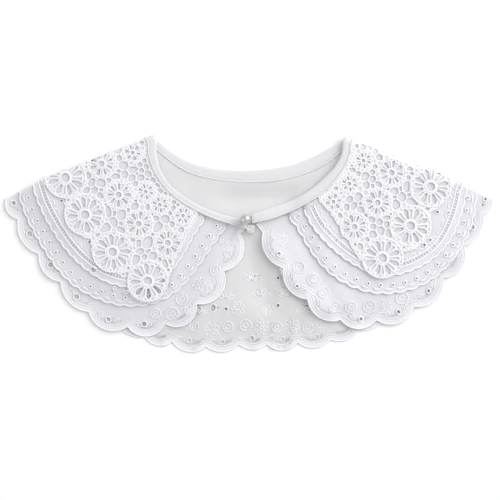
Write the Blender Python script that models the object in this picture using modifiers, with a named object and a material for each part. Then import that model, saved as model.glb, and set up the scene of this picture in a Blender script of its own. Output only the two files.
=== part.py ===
"""A four-tier lace collar laid flat, folded at both shoulders with its fronts over its back.

Plan: +X to the right, +Y towards the back of the neck, +Z up from the surface it lies on. Left and
right are those of someone looking down at it. Lengths in the tables are millimetres.
"""

import math
from collections import namedtuple

import bmesh
import bpy
import numpy as np
from mathutils import Matrix, Vector

MM = 0.001

# Driving sizes of the cloth and of how its layers lie on each other
WALL = 1.0  # one layer of cloth
LAYER_GAP = 0.42  # between two layers
STEP = WALL + LAYER_GAP  # from one layer to the next
CLEAR = 0.3  # between hard pieces
HIDDEN_LAYERS = 3  # the back's lace, ladder and crescent tiers, under its base tier
PLATEAU = HIDDEN_LAYERS * STEP  # height of the base tier's back where all of them lie under it
RAMP = 38.0  # how far inside the back hem that height is reached
BACK_MIDDLE = WALL / 2  # the back panel's mid-surface above that height
FOLD_MIDDLE = WALL + LAYER_GAP / 2  # the axis that the fronts fold round, above that height
SEAM_GAP = 0.6  # from a tier's neck edge to the band, measured along the cloth
FOLD_GAP = 0.5  # from the back's side edges to the fold
NECK_LEAN = 0.75  # below 1, the grain runs from further round the neck down to the front corner

# The fronts' tiers from the base up: each one's place in the stack
BASE, CRESCENT, LADDER, LACE = range(4)

# The neck binding: its height is that of the four seams that it holds
BAND_HEIGHT = 4 * STEP - LAYER_GAP
BAND_MIDDLE = STEP + BAND_HEIGHT / 2
BAND_BEVEL = 1.5
BAND_CORNER = 60.0  # degrees, above which an edge of the binding is rounded
FRONT_BAND_STATIONS, BACK_BAND_STATIONS = 16, 20

# The closure: a ball on a shank, and a thread loop that goes round the shank
PEARL_RADIUS = 5.0
PEARL_AT = (-3.3, 21.4)
SHANK_RADIUS = 1.2
LOOP_RADIUS = 0.6
LOOP_TURN_RADIUS = 2.4
LOOP_TURN_STEP = 30  # degrees
LOOP_ENDS = (7.5, 23.6, 19.8)  # x of both ends on the right band, y of the upper and the lower one
LOOP_HEIGHT = PLATEAU + BAND_MIDDLE + BAND_HEIGHT / 2 + CLEAR + LOOP_RADIUS
PEARL_LIFT = 4.5  # of the ball's middle over the loop, which turns where the ball curves up
PEARL_HEIGHT = LOOP_HEIGHT + LOOP_RADIUS + CLEAR + PEARL_LIFT
PEARL_SIDES, PEARL_RINGS, SHANK_SIDES = 16, 10, 12

Point = namedtuple("Point", "x y")
Valley = namedtuple("Valley", "x y rise")  # rise: how far the scallop after it bulges out
Fold = namedtuple("Fold", "neck hem")  # where a shoulder fold starts and ends, in plan
Ripple = namedtuple("Ripple", "x0 y0 x1 y1 width rise")
Flower = namedtuple("Flower", "x y radius petals")
Hole = namedtuple("Hole", "x y length width turn")

FOLDS = {
    "left": Fold(Point(-92.6, 91.7), Point(-224.0, 39.9)),
    "right": Fold(Point(93.5, 90.7), Point(223.4, 40.4)),
}

# Seam between each front and the neck band, from the centre front to the fold
SEAMS = {
    "left": [
        Point(-2.8, 12.4), Point(-13.8, 16.5), Point(-34.3, 23.2), Point(-52.5, 32.1), Point(-66.5, 41.3),
        Point(-83.4, 59.6), Point(-90.3, 74.3), Point(-92.6, 84.4), Point(-92.6, 91.7),
    ],
    "right": [
        Point(5.3, 18.6), Point(20.6, 22.0), Point(36.7, 28.0), Point(52.1, 35.8), Point(71.1, 48.1),
        Point(81.3, 59.6), Point(89.4, 72.4), Point(93.1, 83.4), Point(93.5, 90.7),
    ],
}

# The band's other edge, where the neck is
NECK_EDGES = {
    "left": [
        Point(-0.2, 21.5), Point(-12.8, 23.4), Point(-31.2, 28.4), Point(-54.1, 39.4), Point(-72.4, 53.2),
        Point(-82.6, 71.5), Point(-84.8, 85.3), Point(-84.4, 94.9),
    ],
    "right": [
        Point(4.1, 26.9), Point(19.3, 32.1), Point(35.8, 37.9), Point(55.0, 48.1), Point(69.7, 60.5),
        Point(78.9, 70.6), Point(85.0, 83.4), Point(85.7, 93.7),
    ],
}
BACK_SEAM = [
    Point(-92.0, 91.3), Point(-85.3, 85.6), Point(-72.4, 75.2), Point(-60.5, 66.9), Point(-44.9, 61.0),
    Point(-22.0, 56.8), Point(0.9, 55.4), Point(23.8, 56.6), Point(46.8, 61.8), Point(60.5, 67.0),
    Point(74.3, 74.9), Point(86.2, 84.9), Point(92.9, 90.3),
]
BACK_NECK_EDGE = [
    Point(-84.0, 94.5), Point(-72.4, 85.3), Point(-61.4, 77.9), Point(-44.9, 71.5), Point(-26.6, 67.9),
    Point(-12.8, 66.9), Point(0.9, 66.9), Point(19.3, 68.3), Point(37.6, 71.5), Point(46.8, 74.3),
    Point(60.5, 79.8), Point(74.3, 87.1), Point(85.2, 93.2),
]

# Hems of the base tier: each scallop's valley, from the centre front to the fold
BASE_HEMS = {
    "left": [
        Valley(-3.4, 11.9, 0.0), Valley(-8.3, 9.2, 10.5), Valley(-22.9, -25.7, 11.5),
        Valley(-47.7, -55.9, 11.0), Valley(-77.0, -74.3, 10.5), Valley(-113.7, -78.9, 10.1),
        Valley(-147.6, -63.3, 7.3), Valley(-173.3, -35.8, 6.7), Valley(-193.5, -10.1, 7.3),
        Valley(-212.7, 22.0, 4.6), Valley(-224.0, 39.9, 0.0),
    ],
    "right": [
        Valley(5.9, 17.9, 0.0), Valley(12.4, 9.6, 7.8), Valley(31.2, -22.9, 8.3), Valley(53.2, -51.4, 8.7),
        Valley(83.4, -70.6, 7.2), Valley(111.9, -75.2, 10.1), Valley(152.7, -58.7, 9.6),
        Valley(178.8, -32.1, 9.0), Valley(198.1, -2.8, 6.4), Valley(215.5, 26.6, 3.7),
        Valley(223.4, 40.4, 0.0),
    ],
}
BACK_HEM = [
    Valley(-222.3, 39.9, 3.7), Valley(-208.2, 20.5, 4.6), Valley(-189.8, -2.8, 4.6),
    Valley(-171.5, -27.5, 4.6), Valley(-147.6, -55.0, 4.6), Valley(-122.0, -73.4, 5.0),
    Valley(-96.3, -86.2, 6.0), Valley(-70.6, -90.8, 7.3), Valley(-39.4, -95.4, 6.0),
    Valley(-9.2, -93.5, 4.9), Valley(16.5, -93.1, 6.6), Valley(44.9, -91.7, 6.4),
    Valley(75.2, -88.9, 5.0), Valley(100.0, -80.7, 4.1), Valley(125.6, -68.8, 4.6),
    Valley(149.5, -50.4, 4.6), Valley(173.3, -24.8, 4.6), Valley(192.6, 3.7, 4.6),
    Valley(209.1, 26.0, 3.7), Valley(221.6, 40.5, 0.0),
]

# Hems of the two middle tiers, which have many small even scallops along a smooth line
CRESCENT_PITCH, CRESCENT_RISE = 11.5, 1.8
CRESCENT_HEMS = {
    "left": [
        Point(-21.1, 16.5), Point(-33.0, 0.0), Point(-51.4, -26.6), Point(-65.1, -42.2),
        Point(-81.6, -52.3), Point(-100.0, -56.8), Point(-118.3, -56.4), Point(-143.5, -48.5),
        Point(-164.1, -35.6), Point(-181.6, -14.7), Point(-195.3, 7.3), Point(-206.2, 30.3),
        Point(-210.5, 45.2),
    ],
    "right": [
        Point(36.7, 24.8), Point(42.2, 18.0), Point(56.9, -6.4), Point(69.7, -22.9), Point(90.8, -37.6),
        Point(113.7, -44.9), Point(143.1, -43.5), Point(164.1, -35.0), Point(190.3, -9.5),
        Point(204.0, 17.0), Point(208.4, 46.2),
    ],
}
LADDER_PITCH, LADDER_RISE = 9.2, 1.3
LADDER_HEMS = {
    "left": [
        Point(-40.8, 22.0), Point(-49.5, 10.1), Point(-63.3, -14.7), Point(-83.4, -35.0),
        Point(-102.0, -40.3), Point(-127.5, -36.2), Point(-156.8, -17.4), Point(-178.0, 9.0),
        Point(-193.5, 39.4), Point(-197.1, 50.5),
    ],
    "right": [
        Point(50.4, 31.2), Point(55.9, 19.3), Point(74.3, -2.8), Point(94.5, -18.4), Point(125.0, -29.6),
        Point(153.1, -22.9), Point(177.9, -5.5), Point(192.5, 22.0), Point(199.6, 49.6),
    ],
}

# The lace yoke's edge: straight up the front, then round each of the outer flowers
LACE_HEMS = {
    "left": [
        Valley(-46.8, 23.8, 0.0), Valley(-60.5, 2.8, 0.0), Valley(-74.3, -37.6, 20.2),
        Valley(-110.0, -26.6, 14.7), Valley(-144.0, 3.7, 11.9), Valley(-167.8, 40.3, 4.6),
        Valley(-185.0, 55.3, 0.0),
    ],
    "right": [
        Valley(64.6, 37.6, 0.0), Valley(77.0, 22.9, 0.0), Valley(90.8, 0.9, 0.0),
        Valley(101.8, -17.4, 19.3), Valley(142.1, -8.3, 11.0), Valley(166.0, 28.4, 4.6),
        Valley(188.0, 54.1, 0.0),
    ],
}

# Flowers of the lace in its radial rows, large at the hem and small at the neck
FLOWERS = {
    "left": [
        Flower(-167.8, 59.6, 18.3, 12), Flower(-149.9, 25.7, 18.3, 12), Flower(-124.7, -8.3, 18.3, 12),
        Flower(-92.6, -34.8, 18.3, 12), Flower(-134.8, 72.4, 12.8, 10), Flower(-119.2, 44.0, 12.8, 10),
        Flower(-100.9, 17.4, 12.8, 10), Flower(-74.3, 0.0, 12.8, 10),
    ],
    "right": [
        Flower(166.0, 51.4, 18.3, 12), Flower(147.6, 15.6, 18.3, 12), Flower(122.0, -13.8, 18.3, 12),
        Flower(130.2, 64.2, 12.8, 10), Flower(117.4, 36.7, 12.8, 10), Flower(96.3, 14.7, 12.8, 10),
    ],
}
FLOWER_EYE = 0.2  # radius of the hole in a flower's middle, of the flower's own
SLOT_FROM, SLOT_TO, SLOT_WIDTH = 0.43, 0.80, 0.135  # gaps between large petals, of the same
SLOTTED_RADIUS = 15.0  # flowers larger than this have gaps over 4 mm between their petals
FOLD_MARGIN = 6.0  # no hole is cut closer to the fold than this
ROUND_CORNERS, SLOT_CORNERS = 10, 4
CUTTER_REACH = 3.5  # how far a hole's cutter stands out of the cloth's upper face

# Round meshes that the cords leave open between the flowers
LACE_HOLES = {
    "left": [
        Hole(-152.2, 46.8, 9.0, 6.4, 60), Hole(-132.1, 14.7, 9.0, 6.4, 50),
        Hole(-104.5, -15.6, 9.0, 6.4, 40), Hole(-93.5, 2.5, 8.6, 6.0, 40),
        Hole(-84.4, 15.6, 8.0, 5.8, 60), Hole(-122.0, 61.4, 8.0, 5.8, 20),
        Hole(-107.5, 68.3, 7.4, 5.4, 20), Hole(-105.5, 34.8, 8.0, 5.8, 50), Hole(-117.4, 25.7, 8.0, 5.6, 60),
    ],
    "right": [
        Hole(118.3, 54.1, 8.6, 6.0, -20), Hole(132.1, 46.8, 8.6, 6.0, -50), Hole(149.5, 35.4, 9.0, 6.4, -60),
        Hole(111.0, 20.2, 8.0, 5.8, -60), Hole(128.4, 4.4, 9.0, 6.4, -40), Hole(133.9, 30.5, 8.0, 5.6, -40),
        Hole(106.4, 62.4, 7.4, 5.4, -30), Hole(147.0, 66.0, 8.0, 5.6, -20),
    ],
}
BACK_HOLES = [Hole(-33.0, -59.6, 7.3, 5.5, 75)]

# Soft waves of the fronts, from near the neck down to the hem
RIPPLES = {
    "left": [
        Ripple(-26.0, 8.0, -60.0, -76.0, 11.0, 1.1), Ripple(-98.0, -50.0, -118.0, -90.0, 12.0, 0.9),
        Ripple(-152.0, -14.0, -186.0, -36.0, 12.0, 0.9),
    ],
    "right": [
        Ripple(34.0, 12.0, 60.0, -60.0, 10.0, 1.2), Ripple(60.0, 2.0, 94.0, -78.0, 11.0, 1.3),
        Ripple(122.0, -32.0, 140.0, -74.0, 12.0, 0.9), Ripple(168.0, -2.0, 196.0, -22.0, 12.0, 0.9),
    ],
}
RIPPLE_FADE = 24.0  # waves die out over this distance from the fold and from their upper end

# Hidden tiers of the back: height of each terrace, and how far inside the back hem it ends
Terrace = namedtuple("Terrace", "inset side neck")
TERRACES = [Terrace(15.0, 0.9, 1.2), Terrace(25.0, 0.7, 0.9), Terrace(39.0, 0.5, 0.6)]
TERRACE_SIDES = 20
TERRACE_STEPS = 200  # in which its end is sought between neck and hem

# Grid of a sheet. Its rows are even steps from the neck edge, then set distances inside the line of
# its valleys, close enough for the stack's slope to be the same in every tier, and the scalloped
# hem. Its stations are about the spacing apart, and the hem has so many more cuts between them.
Grid = namedtuple("Grid", "steps insets spacing cuts")
BASE_GRID = Grid(2, (49.0, 39.0, 30.0, 21.0, 12.0, 1.5), 9.5, 1)
BACK_GRID = Grid(2, (38.0, 30.0, 21.0, 13.0, 6.0, 1.0), 16.0, 2)
CRESCENT_GRID = Grid(2, (38.0, 28.0, 18.0, 9.0, 1.0), CRESCENT_PITCH, 2)
LADDER_GRID = Grid(2, (31.0, 20.0, 10.0, 1.0), LADDER_PITCH, 2)
LACE_GRID = Grid(3, (9.0, 1.5), 9.0, 1)
SHORT_RAY = 1.3  # where cloth is shorter than this many times its rows' reach, they draw closer
FOLD_TURNS = [45.0, 0.0, -45.0, -90.0]  # degrees at which a front's edge is laid round the fold

# How finely the smooth lines are read
CURVE_STEPS = 12  # from one point of a table to the next
NEAREST_STEPS = 400  # when the nearest place on a line is sought
PART_STEPS = 80  # along the part of a line that is kept
FAR_UP = 400.0  # well past the neck, where the region inside the back's hem is closed

COTTON = (0.88, 0.88, 0.87)
LACE_WHITE = (0.93, 0.93, 0.92)
PEARL_CREAM = (0.88, 0.85, 0.78)
THREAD = (0.80, 0.74, 0.62)


def xy(point):
    return np.array([point.x, point.y], float)


def smooth_line(points):
    """A curve through all points, with the slope at each one taken from its neighbours."""
    knots = np.array([xy(p) for p in points])
    gaps = np.linalg.norm(np.diff(knots, axis=0), axis=1)
    at = np.concatenate([[0.0], np.cumsum(gaps)])
    slopes = np.gradient(knots, at, axis=0)
    line = []
    for k, gap in enumerate(gaps):
        for t in np.arange(CURVE_STEPS) / CURVE_STEPS:
            line.append(
                (2 * t**3 - 3 * t**2 + 1) * knots[k]
                + (t**3 - 2 * t**2 + t) * gap * slopes[k]
                + (3 * t**2 - 2 * t**3) * knots[k + 1]
                + (t**3 - t**2) * gap * slopes[k + 1]
            )
    line.append(knots[-1])
    return np.array(line)


class Line:
    """A curve in plan that is read by its share of length, from 0 to 1."""

    def __init__(self, points):
        self.points = points
        lengths = np.linalg.norm(np.diff(points, axis=0), axis=1)
        self.length = lengths.sum()
        self.shares = np.concatenate([[0.0], np.cumsum(lengths)]) / self.length

    def at(self, share):
        return np.array([np.interp(share, self.shares, self.points[:, axis]) for axis in (0, 1)])

    def nearest(self, point):
        steps = np.linspace(0.0, 1.0, NEAREST_STEPS)
        far = [np.linalg.norm(self.at(s) - point) for s in steps]
        return steps[int(np.argmin(far))]

    def part(self, start):
        return Line(np.array([self.at(s) for s in np.linspace(start, 1.0, PART_STEPS)]))


class Hem:
    """Scallops from valley to valley, each an arc of a circle that bulges to one side."""

    def __init__(self, valleys, outward):
        self.knots = np.array([xy(v) for v in valleys])
        self.rises = [v.rise for v in valleys]
        self.outward = outward
        lengths = np.linalg.norm(np.diff(self.knots, axis=0), axis=1)
        self.shares = np.concatenate([[0.0], np.cumsum(lengths)]) / lengths.sum()
        self.lengths = lengths

    def stretch(self, share):
        k = int(np.clip(np.searchsorted(self.shares, share, side="right") - 1, 0, len(self.lengths) - 1))
        return k, (share - self.shares[k]) / (self.shares[k + 1] - self.shares[k])

    def chord(self, share):
        k, t = self.stretch(share)
        return self.knots[k] * (1 - t) + self.knots[k + 1] * t

    def at(self, share):
        k, t = self.stretch(share)
        along = (self.knots[k + 1] - self.knots[k]) / self.lengths[k]
        middle = (self.knots[k + 1] + self.knots[k]) / 2
        out = self.outward * np.array([along[1], -along[0]])
        half, rise = self.lengths[k] / 2, self.rises[k]
        if rise == 0.0:
            return middle + along * half * (2 * t - 1)
        radius = (half**2 + rise**2) / (2 * rise)
        angle = 2 * math.atan2(rise, half) * (2 * t - 1)
        return middle + along * radius * math.sin(angle) + out * (radius * math.cos(angle) - radius + rise)


def evenly_scalloped(points, pitch, rise, outward):
    line = Line(smooth_line(points))
    count = round(line.length / pitch)
    spots = [line.at(k / count) for k in range(count + 1)]
    return Hem([Valley(p[0], p[1], rise) for p in spots], outward)


def inside(point, outline):
    """Whether a point in plan is within a closed outline."""
    x, y = point
    x0, y0 = outline[:, 0], outline[:, 1]
    x1, y1 = np.roll(x0, -1), np.roll(y0, -1)
    crosses = (y0 > y) != (y1 > y)
    with np.errstate(divide="ignore", invalid="ignore"):
        meets = x0 + (y - y0) * (x1 - x0) / (y1 - y0)
    return bool(np.count_nonzero(crosses & (x < meets)) % 2)


def distance_to_line(point, line):
    start, way = line[:-1], np.diff(line, axis=0)
    share = np.clip(((point - start) * way).sum(1) / (way**2).sum(1), 0.0, 1.0)
    return np.linalg.norm(start + way * share[:, None] - point, axis=1).min()


BACK_BASE_LINE = np.array([xy(v) for v in BACK_HEM])
BACK_REGION = np.vstack(
    [BACK_BASE_LINE, [[BACK_HEM[-1].x, FAR_UP], [BACK_HEM[0].x, FAR_UP]]]
)


def inset_of(point):
    """How far a point in plan is inside the back's hem, or a negative value outside it."""
    far = distance_to_line(point, BACK_BASE_LINE)
    return far if inside(point, BACK_REGION) else -far


def eased(t):
    t = min(max(t, 0.0), 1.0)
    return t * t * (3 - 2 * t)


def back_height(point):
    """Height of the back panel's underside: on the hidden tiers, and at its hem on the surface."""
    return PLATEAU * eased(inset_of(point) / RAMP)


def ripple_height(point, side):
    """The fronts' soft waves, all above the height at which they would lie flat."""
    fold = FOLDS[side]
    total = 0.0
    for r in RIPPLES[side]:
        start, end = np.array([r.x0, r.y0]), np.array([r.x1, r.y1])
        way = end - start
        share = float(np.dot(point - start, way) / np.dot(way, way))
        across = np.linalg.norm(start + way * share - point) / r.width
        along = eased(share * np.linalg.norm(way) / RIPPLE_FADE)
        total += r.rise * along * math.exp(-across * across)
    from_fold = distance_to_line(point, np.array([xy(fold.neck), xy(fold.hem)]))
    return total * eased((from_fold - SEAM_GAP) / RIPPLE_FADE)


def fold_out(side):
    """The level direction that points away from the collar, square to a shoulder's fold."""
    fold = FOLDS[side]
    way = xy(fold.hem) - xy(fold.neck)
    way /= np.linalg.norm(way)
    out = np.array([-way[1], way[0]])
    return out if out[1] > 0 else -out


def layer_radius(layer):
    return STEP / 2 + layer * STEP


def row_count(grid):
    return grid.steps + len(grid.insets) + 1


def plan_point(neck, hem, share, lean, grid, row):
    """Where a sheet's station and row are in plan, between its neck edge and its hem."""
    if row == row_count(grid) - 1:
        return hem.at(share)
    top, low = neck.at(share**lean), hem.chord(share)
    way = low - top
    length = np.linalg.norm(way)
    drawn = min(1.0, (length - SEAM_GAP) / (SHORT_RAY * grid.insets[0]))
    if row < grid.steps:
        reach = length - SEAM_GAP - grid.insets[0] * drawn
        return top + way / length * (SEAM_GAP + reach * row / grid.steps)
    return low - way / length * grid.insets[row - grid.steps] * drawn


def front_point(side, neck, hem, layer, grid, station, row):
    """A point of a front's mid-surface: station runs along the neck, then in whole steps round the fold."""
    radius = layer_radius(layer)
    middle = FOLD_MIDDLE + radius
    flat = plan_point(neck, hem, min(station, 1.0), NECK_LEAN, grid, row)
    height = back_height(flat)
    if station <= 1.0:
        return np.array([*flat, height + middle + ripple_height(flat, side)])
    angle = math.radians(FOLD_TURNS[round(station - 1.0) - 1])
    out = fold_out(side) * radius * math.cos(angle)
    level = max(height + FOLD_MIDDLE + radius * math.sin(angle), WALL / 2)
    return np.array([*(flat + out), level])


def sheet_mesh(name, stations, count, place, cuts=0):
    """A grid whose every vertex is placed by its station and row, with its hem's edges cut finer."""
    mesh = bmesh.new()
    keys = [mesh.verts.layers.float.new(key) for key in ("station", "row")]
    bmesh.ops.create_grid(mesh, x_segments=len(stations) - 1, y_segments=count - 1, size=1.0)
    for vert in mesh.verts:
        i = round((vert.co.x + 1) / 2 * (len(stations) - 1))
        j = round((vert.co.y + 1) / 2 * (count - 1))
        vert[keys[0]], vert[keys[1]] = stations[i], j
    if cuts:
        hem = [
            e
            for e in mesh.edges
            if all(v[keys[1]] == count - 1 and v[keys[0]] <= 1.0 for v in e.verts)
        ]
        bmesh.ops.subdivide_edges(mesh, edges=hem, cuts=cuts)
    for vert in mesh.verts:
        vert.co = Vector(place(vert[keys[0]], round(vert[keys[1]]))) * MM
    data = bpy.data.meshes.new(name)
    mesh.to_mesh(data)
    mesh.free()
    return data


def finish(name, color, roughness, metallic=0.0):
    material = bpy.data.materials.new(name)
    material.use_nodes = True
    shader = material.node_tree.nodes["Principled BSDF"]
    shader.inputs["Base Color"].default_value = (*color, 1.0)
    shader.inputs["Roughness"].default_value = roughness
    shader.inputs["Metallic"].default_value = metallic
    return material


def add_object(name, data, collection, parent, material=None):
    item = bpy.data.objects.new(name, data)
    collection.objects.link(item)
    item.parent = parent
    if material:
        data.materials.append(material)
    return item


def thicken(item, thickness=WALL):
    wall = item.modifiers.new("wall", "SOLIDIFY")
    wall.thickness = thickness * MM
    wall.offset = 0.0
    wall.use_even_offset = True
    wall.use_quality_normals = True


def boolean(item, cutter, operation="DIFFERENCE"):
    cut = item.modifiers.new(operation.lower(), "BOOLEAN")
    cut.operation = operation
    cut.object = cutter
    cut.solver = "EXACT"


def as_cutter(item):
    item.hide_render = True
    item.display_type = "WIRE"


def stations_of(hem, spacing):
    """Every valley's share of the hem, with even steps of about the spacing between them."""
    marks = []
    for a, b, length in zip(hem.shares[:-1], hem.shares[1:], hem.lengths):
        steps = max(1, round(length / spacing))
        marks += [a + (b - a) * k / steps for k in range(steps)]
    return marks + [1.0]


def round_fold():
    return [1.0 + k for k in range(1, len(FOLD_TURNS) + 1)]


def add_front(name, side, hem, layer, grid, context):
    """One tier of a front, laid on the tier below it and round the shoulder's fold."""
    seam = Line(smooth_line(SEAMS[side]))
    neck = seam.part(seam.nearest(hem.knots[0]))

    def place(station, row):
        return front_point(side, neck, hem, layer, grid, station, row)

    stations = stations_of(hem, grid.spacing) + round_fold()
    data = sheet_mesh(name, stations, row_count(grid), place, grid.cuts)
    item = add_object(name, data, **context)
    thicken(item)
    return item


def add_back(context):
    """The base tier's back half, wrong side up, between the two folds."""
    neck = Line(smooth_line(BACK_SEAM))
    hem = Hem(BACK_HEM, outward=1)

    def place(station, row):
        flat = plan_point(neck, hem, station, 1.0, BACK_GRID, row)
        return np.array([*flat, back_height(flat) + BACK_MIDDLE])

    stations = stations_of(hem, BACK_GRID.spacing)
    data = sheet_mesh("base_back", stations, row_count(BACK_GRID), place, BACK_GRID.cuts)
    item = add_object("base_back", data, **context)
    thicken(item)
    return item


def outline_slab(name, outline, low, high, collection, parent):
    """A flat closed outline raised from one height to another."""
    curve = bpy.data.curves.new(name, "CURVE")
    curve.dimensions = "2D"
    curve.fill_mode = "BOTH"
    curve.extrude = (high - low) / 2 * MM
    spline = curve.splines.new("POLY")
    spline.points.add(len(outline) - 1)
    for point, place in zip(spline.points, outline):
        point.co = (place[0] * MM, place[1] * MM, 0.0, 1.0)
    spline.use_cyclic_u = True
    guide = add_object(name + "_outline", curve, collection, parent)
    guide.location.z = (low + high) / 2 * MM
    bpy.context.view_layer.update()
    seen = guide.evaluated_get(bpy.context.evaluated_depsgraph_get())
    data = bpy.data.meshes.new_from_object(seen)
    data.name = name
    mesh = bmesh.new()
    mesh.from_mesh(data)
    bmesh.ops.remove_doubles(mesh, verts=mesh.verts, dist=0.01 * MM)
    bmesh.ops.recalc_face_normals(mesh, faces=mesh.faces)
    mesh.to_mesh(data)
    mesh.free()
    slab = add_object(name, data, collection, parent)
    slab.matrix_world = guide.matrix_world
    bpy.data.objects.remove(guide)
    return slab


def terrace_outline(terrace):
    """Plan of one hidden tier: along the neck, down one fold, along the hem and up the other."""
    neck = Line(smooth_line(BACK_SEAM))
    hem = Line(BACK_BASE_LINE)
    side = terrace.side / neck.length
    upper, lower = [], []
    for share in np.linspace(side, 1.0 - side, TERRACE_SIDES):
        top, low = neck.at(share), hem.at(share)
        way = low - top
        top = top + way / np.linalg.norm(way) * terrace.neck
        tried = np.linspace(1.0, 0.0, TERRACE_STEPS)
        reached = [t for t in tried if inset_of(top + (low - top) * t) >= terrace.inset]
        upper.append(top)
        if reached:
            lower.append(top + (low - top) * reached[0])
    return upper + lower[::-1]


def add_hidden_tiers(context, guides):
    """The back's three other tiers as one solid that lies flat and steps down towards its hem."""
    low = 0.0
    slabs = []
    for k, terrace in enumerate(TERRACES):
        where = context["collection"] if k == 0 else guides
        name = "back_tiers" if k == 0 else f"back_tiers_terrace_{k}"
        top = WALL + k * STEP
        slab = outline_slab(name, terrace_outline(terrace), low, top, where, context["parent"])
        slabs.append(slab)
        low = top - WALL / 2
    slabs[0].data.materials.append(context["material"])
    for slab in slabs[1:]:
        as_cutter(slab)
        boolean(slabs[0], slab, "UNION")
    return slabs[0]


def prism(mesh, hole, corners, low, high):
    """An upright prism with the hole's length and width, turned in plan."""
    turned = math.pi / corners if corners == SLOT_CORNERS else 0.0
    reach = MM / math.cos(math.pi / corners) if corners == SLOT_CORNERS else MM
    place = (
        Matrix.Translation(Vector((hole.x, hole.y, (low + high) / 2)) * MM)
        @ Matrix.Rotation(math.radians(hole.turn), 4, "Z")
        @ Matrix.Diagonal((hole.length * reach, hole.width * reach, (high - low) * MM, 1.0))
        @ Matrix.Rotation(turned, 4, "Z")
    )
    bmesh.ops.create_cone(
        mesh, cap_ends=True, segments=corners, radius1=0.5, radius2=0.5, depth=1.0, matrix=place
    )


def flower_holes(flower):
    """The eye of a flower, and on a large one the gaps between its petals."""
    eye = 2 * FLOWER_EYE * flower.radius
    holes = [(Hole(flower.x, flower.y, eye, eye, 0.0), ROUND_CORNERS)]
    if flower.radius < SLOTTED_RADIUS:
        return holes
    middle = (SLOT_FROM + SLOT_TO) / 2 * flower.radius
    length = (SLOT_TO - SLOT_FROM) * flower.radius
    for k in range(flower.petals):
        turn = 360.0 * (k + 0.5) / flower.petals
        x = flower.x + middle * math.cos(math.radians(turn))
        y = flower.y + middle * math.sin(math.radians(turn))
        holes.append((Hole(x, y, length, SLOT_WIDTH * flower.radius, turn), SLOT_CORNERS))
    return holes


def add_cutter(name, holes, low, high, guides, parent):
    mesh = bmesh.new()
    for hole, corners in holes:
        prism(mesh, hole, corners, low, high)
    data = bpy.data.meshes.new(name)
    mesh.to_mesh(data)
    mesh.free()
    cutter = add_object(name, data, guides, parent)
    as_cutter(cutter)
    return cutter


def clear_of_fold(hole, side):
    fold = FOLDS[side]
    line = np.array([xy(fold.neck), xy(fold.hem)])
    spot = np.array([hole.x, hole.y])
    out = np.dot(spot - line[0], fold_out(side))
    return out < 0 and distance_to_line(spot, line) > FOLD_MARGIN


def lace_holes(side):
    holes = [(hole, ROUND_CORNERS) for hole in LACE_HOLES[side]]
    for flower in FLOWERS[side]:
        holes += flower_holes(flower)
    return [pair for pair in holes if clear_of_fold(pair[0], side)]


def add_band_front(side, context):
    """The neck binding of one front, from the centre front to the shoulder and round its fold."""
    seam = Line(smooth_line(SEAMS[side]))
    edge = Line(smooth_line(NECK_EDGES[side]))

    def place(station, row):
        share = min(station, 1.0)
        flat = edge.at(share) + (seam.at(share) - edge.at(share)) * row
        height = back_height(flat)
        if station <= 1.0:
            return np.array([*flat, height + BAND_MIDDLE])
        angle = math.radians(FOLD_TURNS[round(station - 1.0) - 1])
        radius = BAND_MIDDLE - FOLD_MIDDLE
        out = fold_out(side) * radius * math.cos(angle)
        return np.array([*(flat + out), height + FOLD_MIDDLE + radius * math.sin(angle)])

    stations = list(np.linspace(0.0, 1.0, FRONT_BAND_STATIONS)) + round_fold()
    name = "neck_band_" + side
    item = add_object(name, sheet_mesh(name, stations, 2, place), **context)
    thicken(item, BAND_HEIGHT)
    round_edges(item)
    return item


def add_band_back(context):
    """The binding of the back's neck, under the fronts' at the shoulders."""
    seam = Line(smooth_line(BACK_SEAM))
    edge = Line(smooth_line(BACK_NECK_EDGE))
    side = FOLD_GAP / seam.length

    def place(station, row):
        flat = edge.at(station) + (seam.at(station) - edge.at(station)) * row
        return np.array([*flat, BAND_HEIGHT / 2])

    stations = list(np.linspace(side, 1.0 - side, BACK_BAND_STATIONS))
    item = add_object(
        "neck_band_back", sheet_mesh("neck_band_back", stations, 2, place), **context
    )
    thicken(item, BAND_HEIGHT)
    round_edges(item)
    return item


def round_edges(item):
    bevel = item.modifiers.new("rounded_binding", "BEVEL")
    bevel.width = BAND_BEVEL * MM
    bevel.segments = 1
    bevel.limit_method = "ANGLE"
    bevel.angle_limit = math.radians(BAND_CORNER)


def add_pearl(context, guides):
    """A ball button on its shank, above the end of the left band."""
    mesh = bmesh.new()
    bmesh.ops.create_uvsphere(
        mesh, u_segments=PEARL_SIDES, v_segments=PEARL_RINGS, radius=PEARL_RADIUS * MM
    )
    data = bpy.data.meshes.new("pearl_button")
    mesh.to_mesh(data)
    mesh.free()
    pearl = add_object("pearl_button", data, **context)
    pearl.location = (PEARL_AT[0] * MM, PEARL_AT[1] * MM, PEARL_HEIGHT * MM)
    band_top = LOOP_HEIGHT - LOOP_RADIUS
    depth = PEARL_HEIGHT - band_top
    mesh = bmesh.new()
    radius = SHANK_RADIUS * MM
    bmesh.ops.create_cone(
        mesh, cap_ends=True, segments=SHANK_SIDES, radius1=radius, radius2=radius, depth=depth * MM
    )
    data = bpy.data.meshes.new("pearl_shank")
    mesh.to_mesh(data)
    mesh.free()
    shank = add_object("pearl_shank", data, guides, context["parent"])
    shank.location = (PEARL_AT[0] * MM, PEARL_AT[1] * MM, (band_top + depth / 2) * MM)
    as_cutter(shank)
    boolean(pearl, shank, "UNION")
    return pearl


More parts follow.
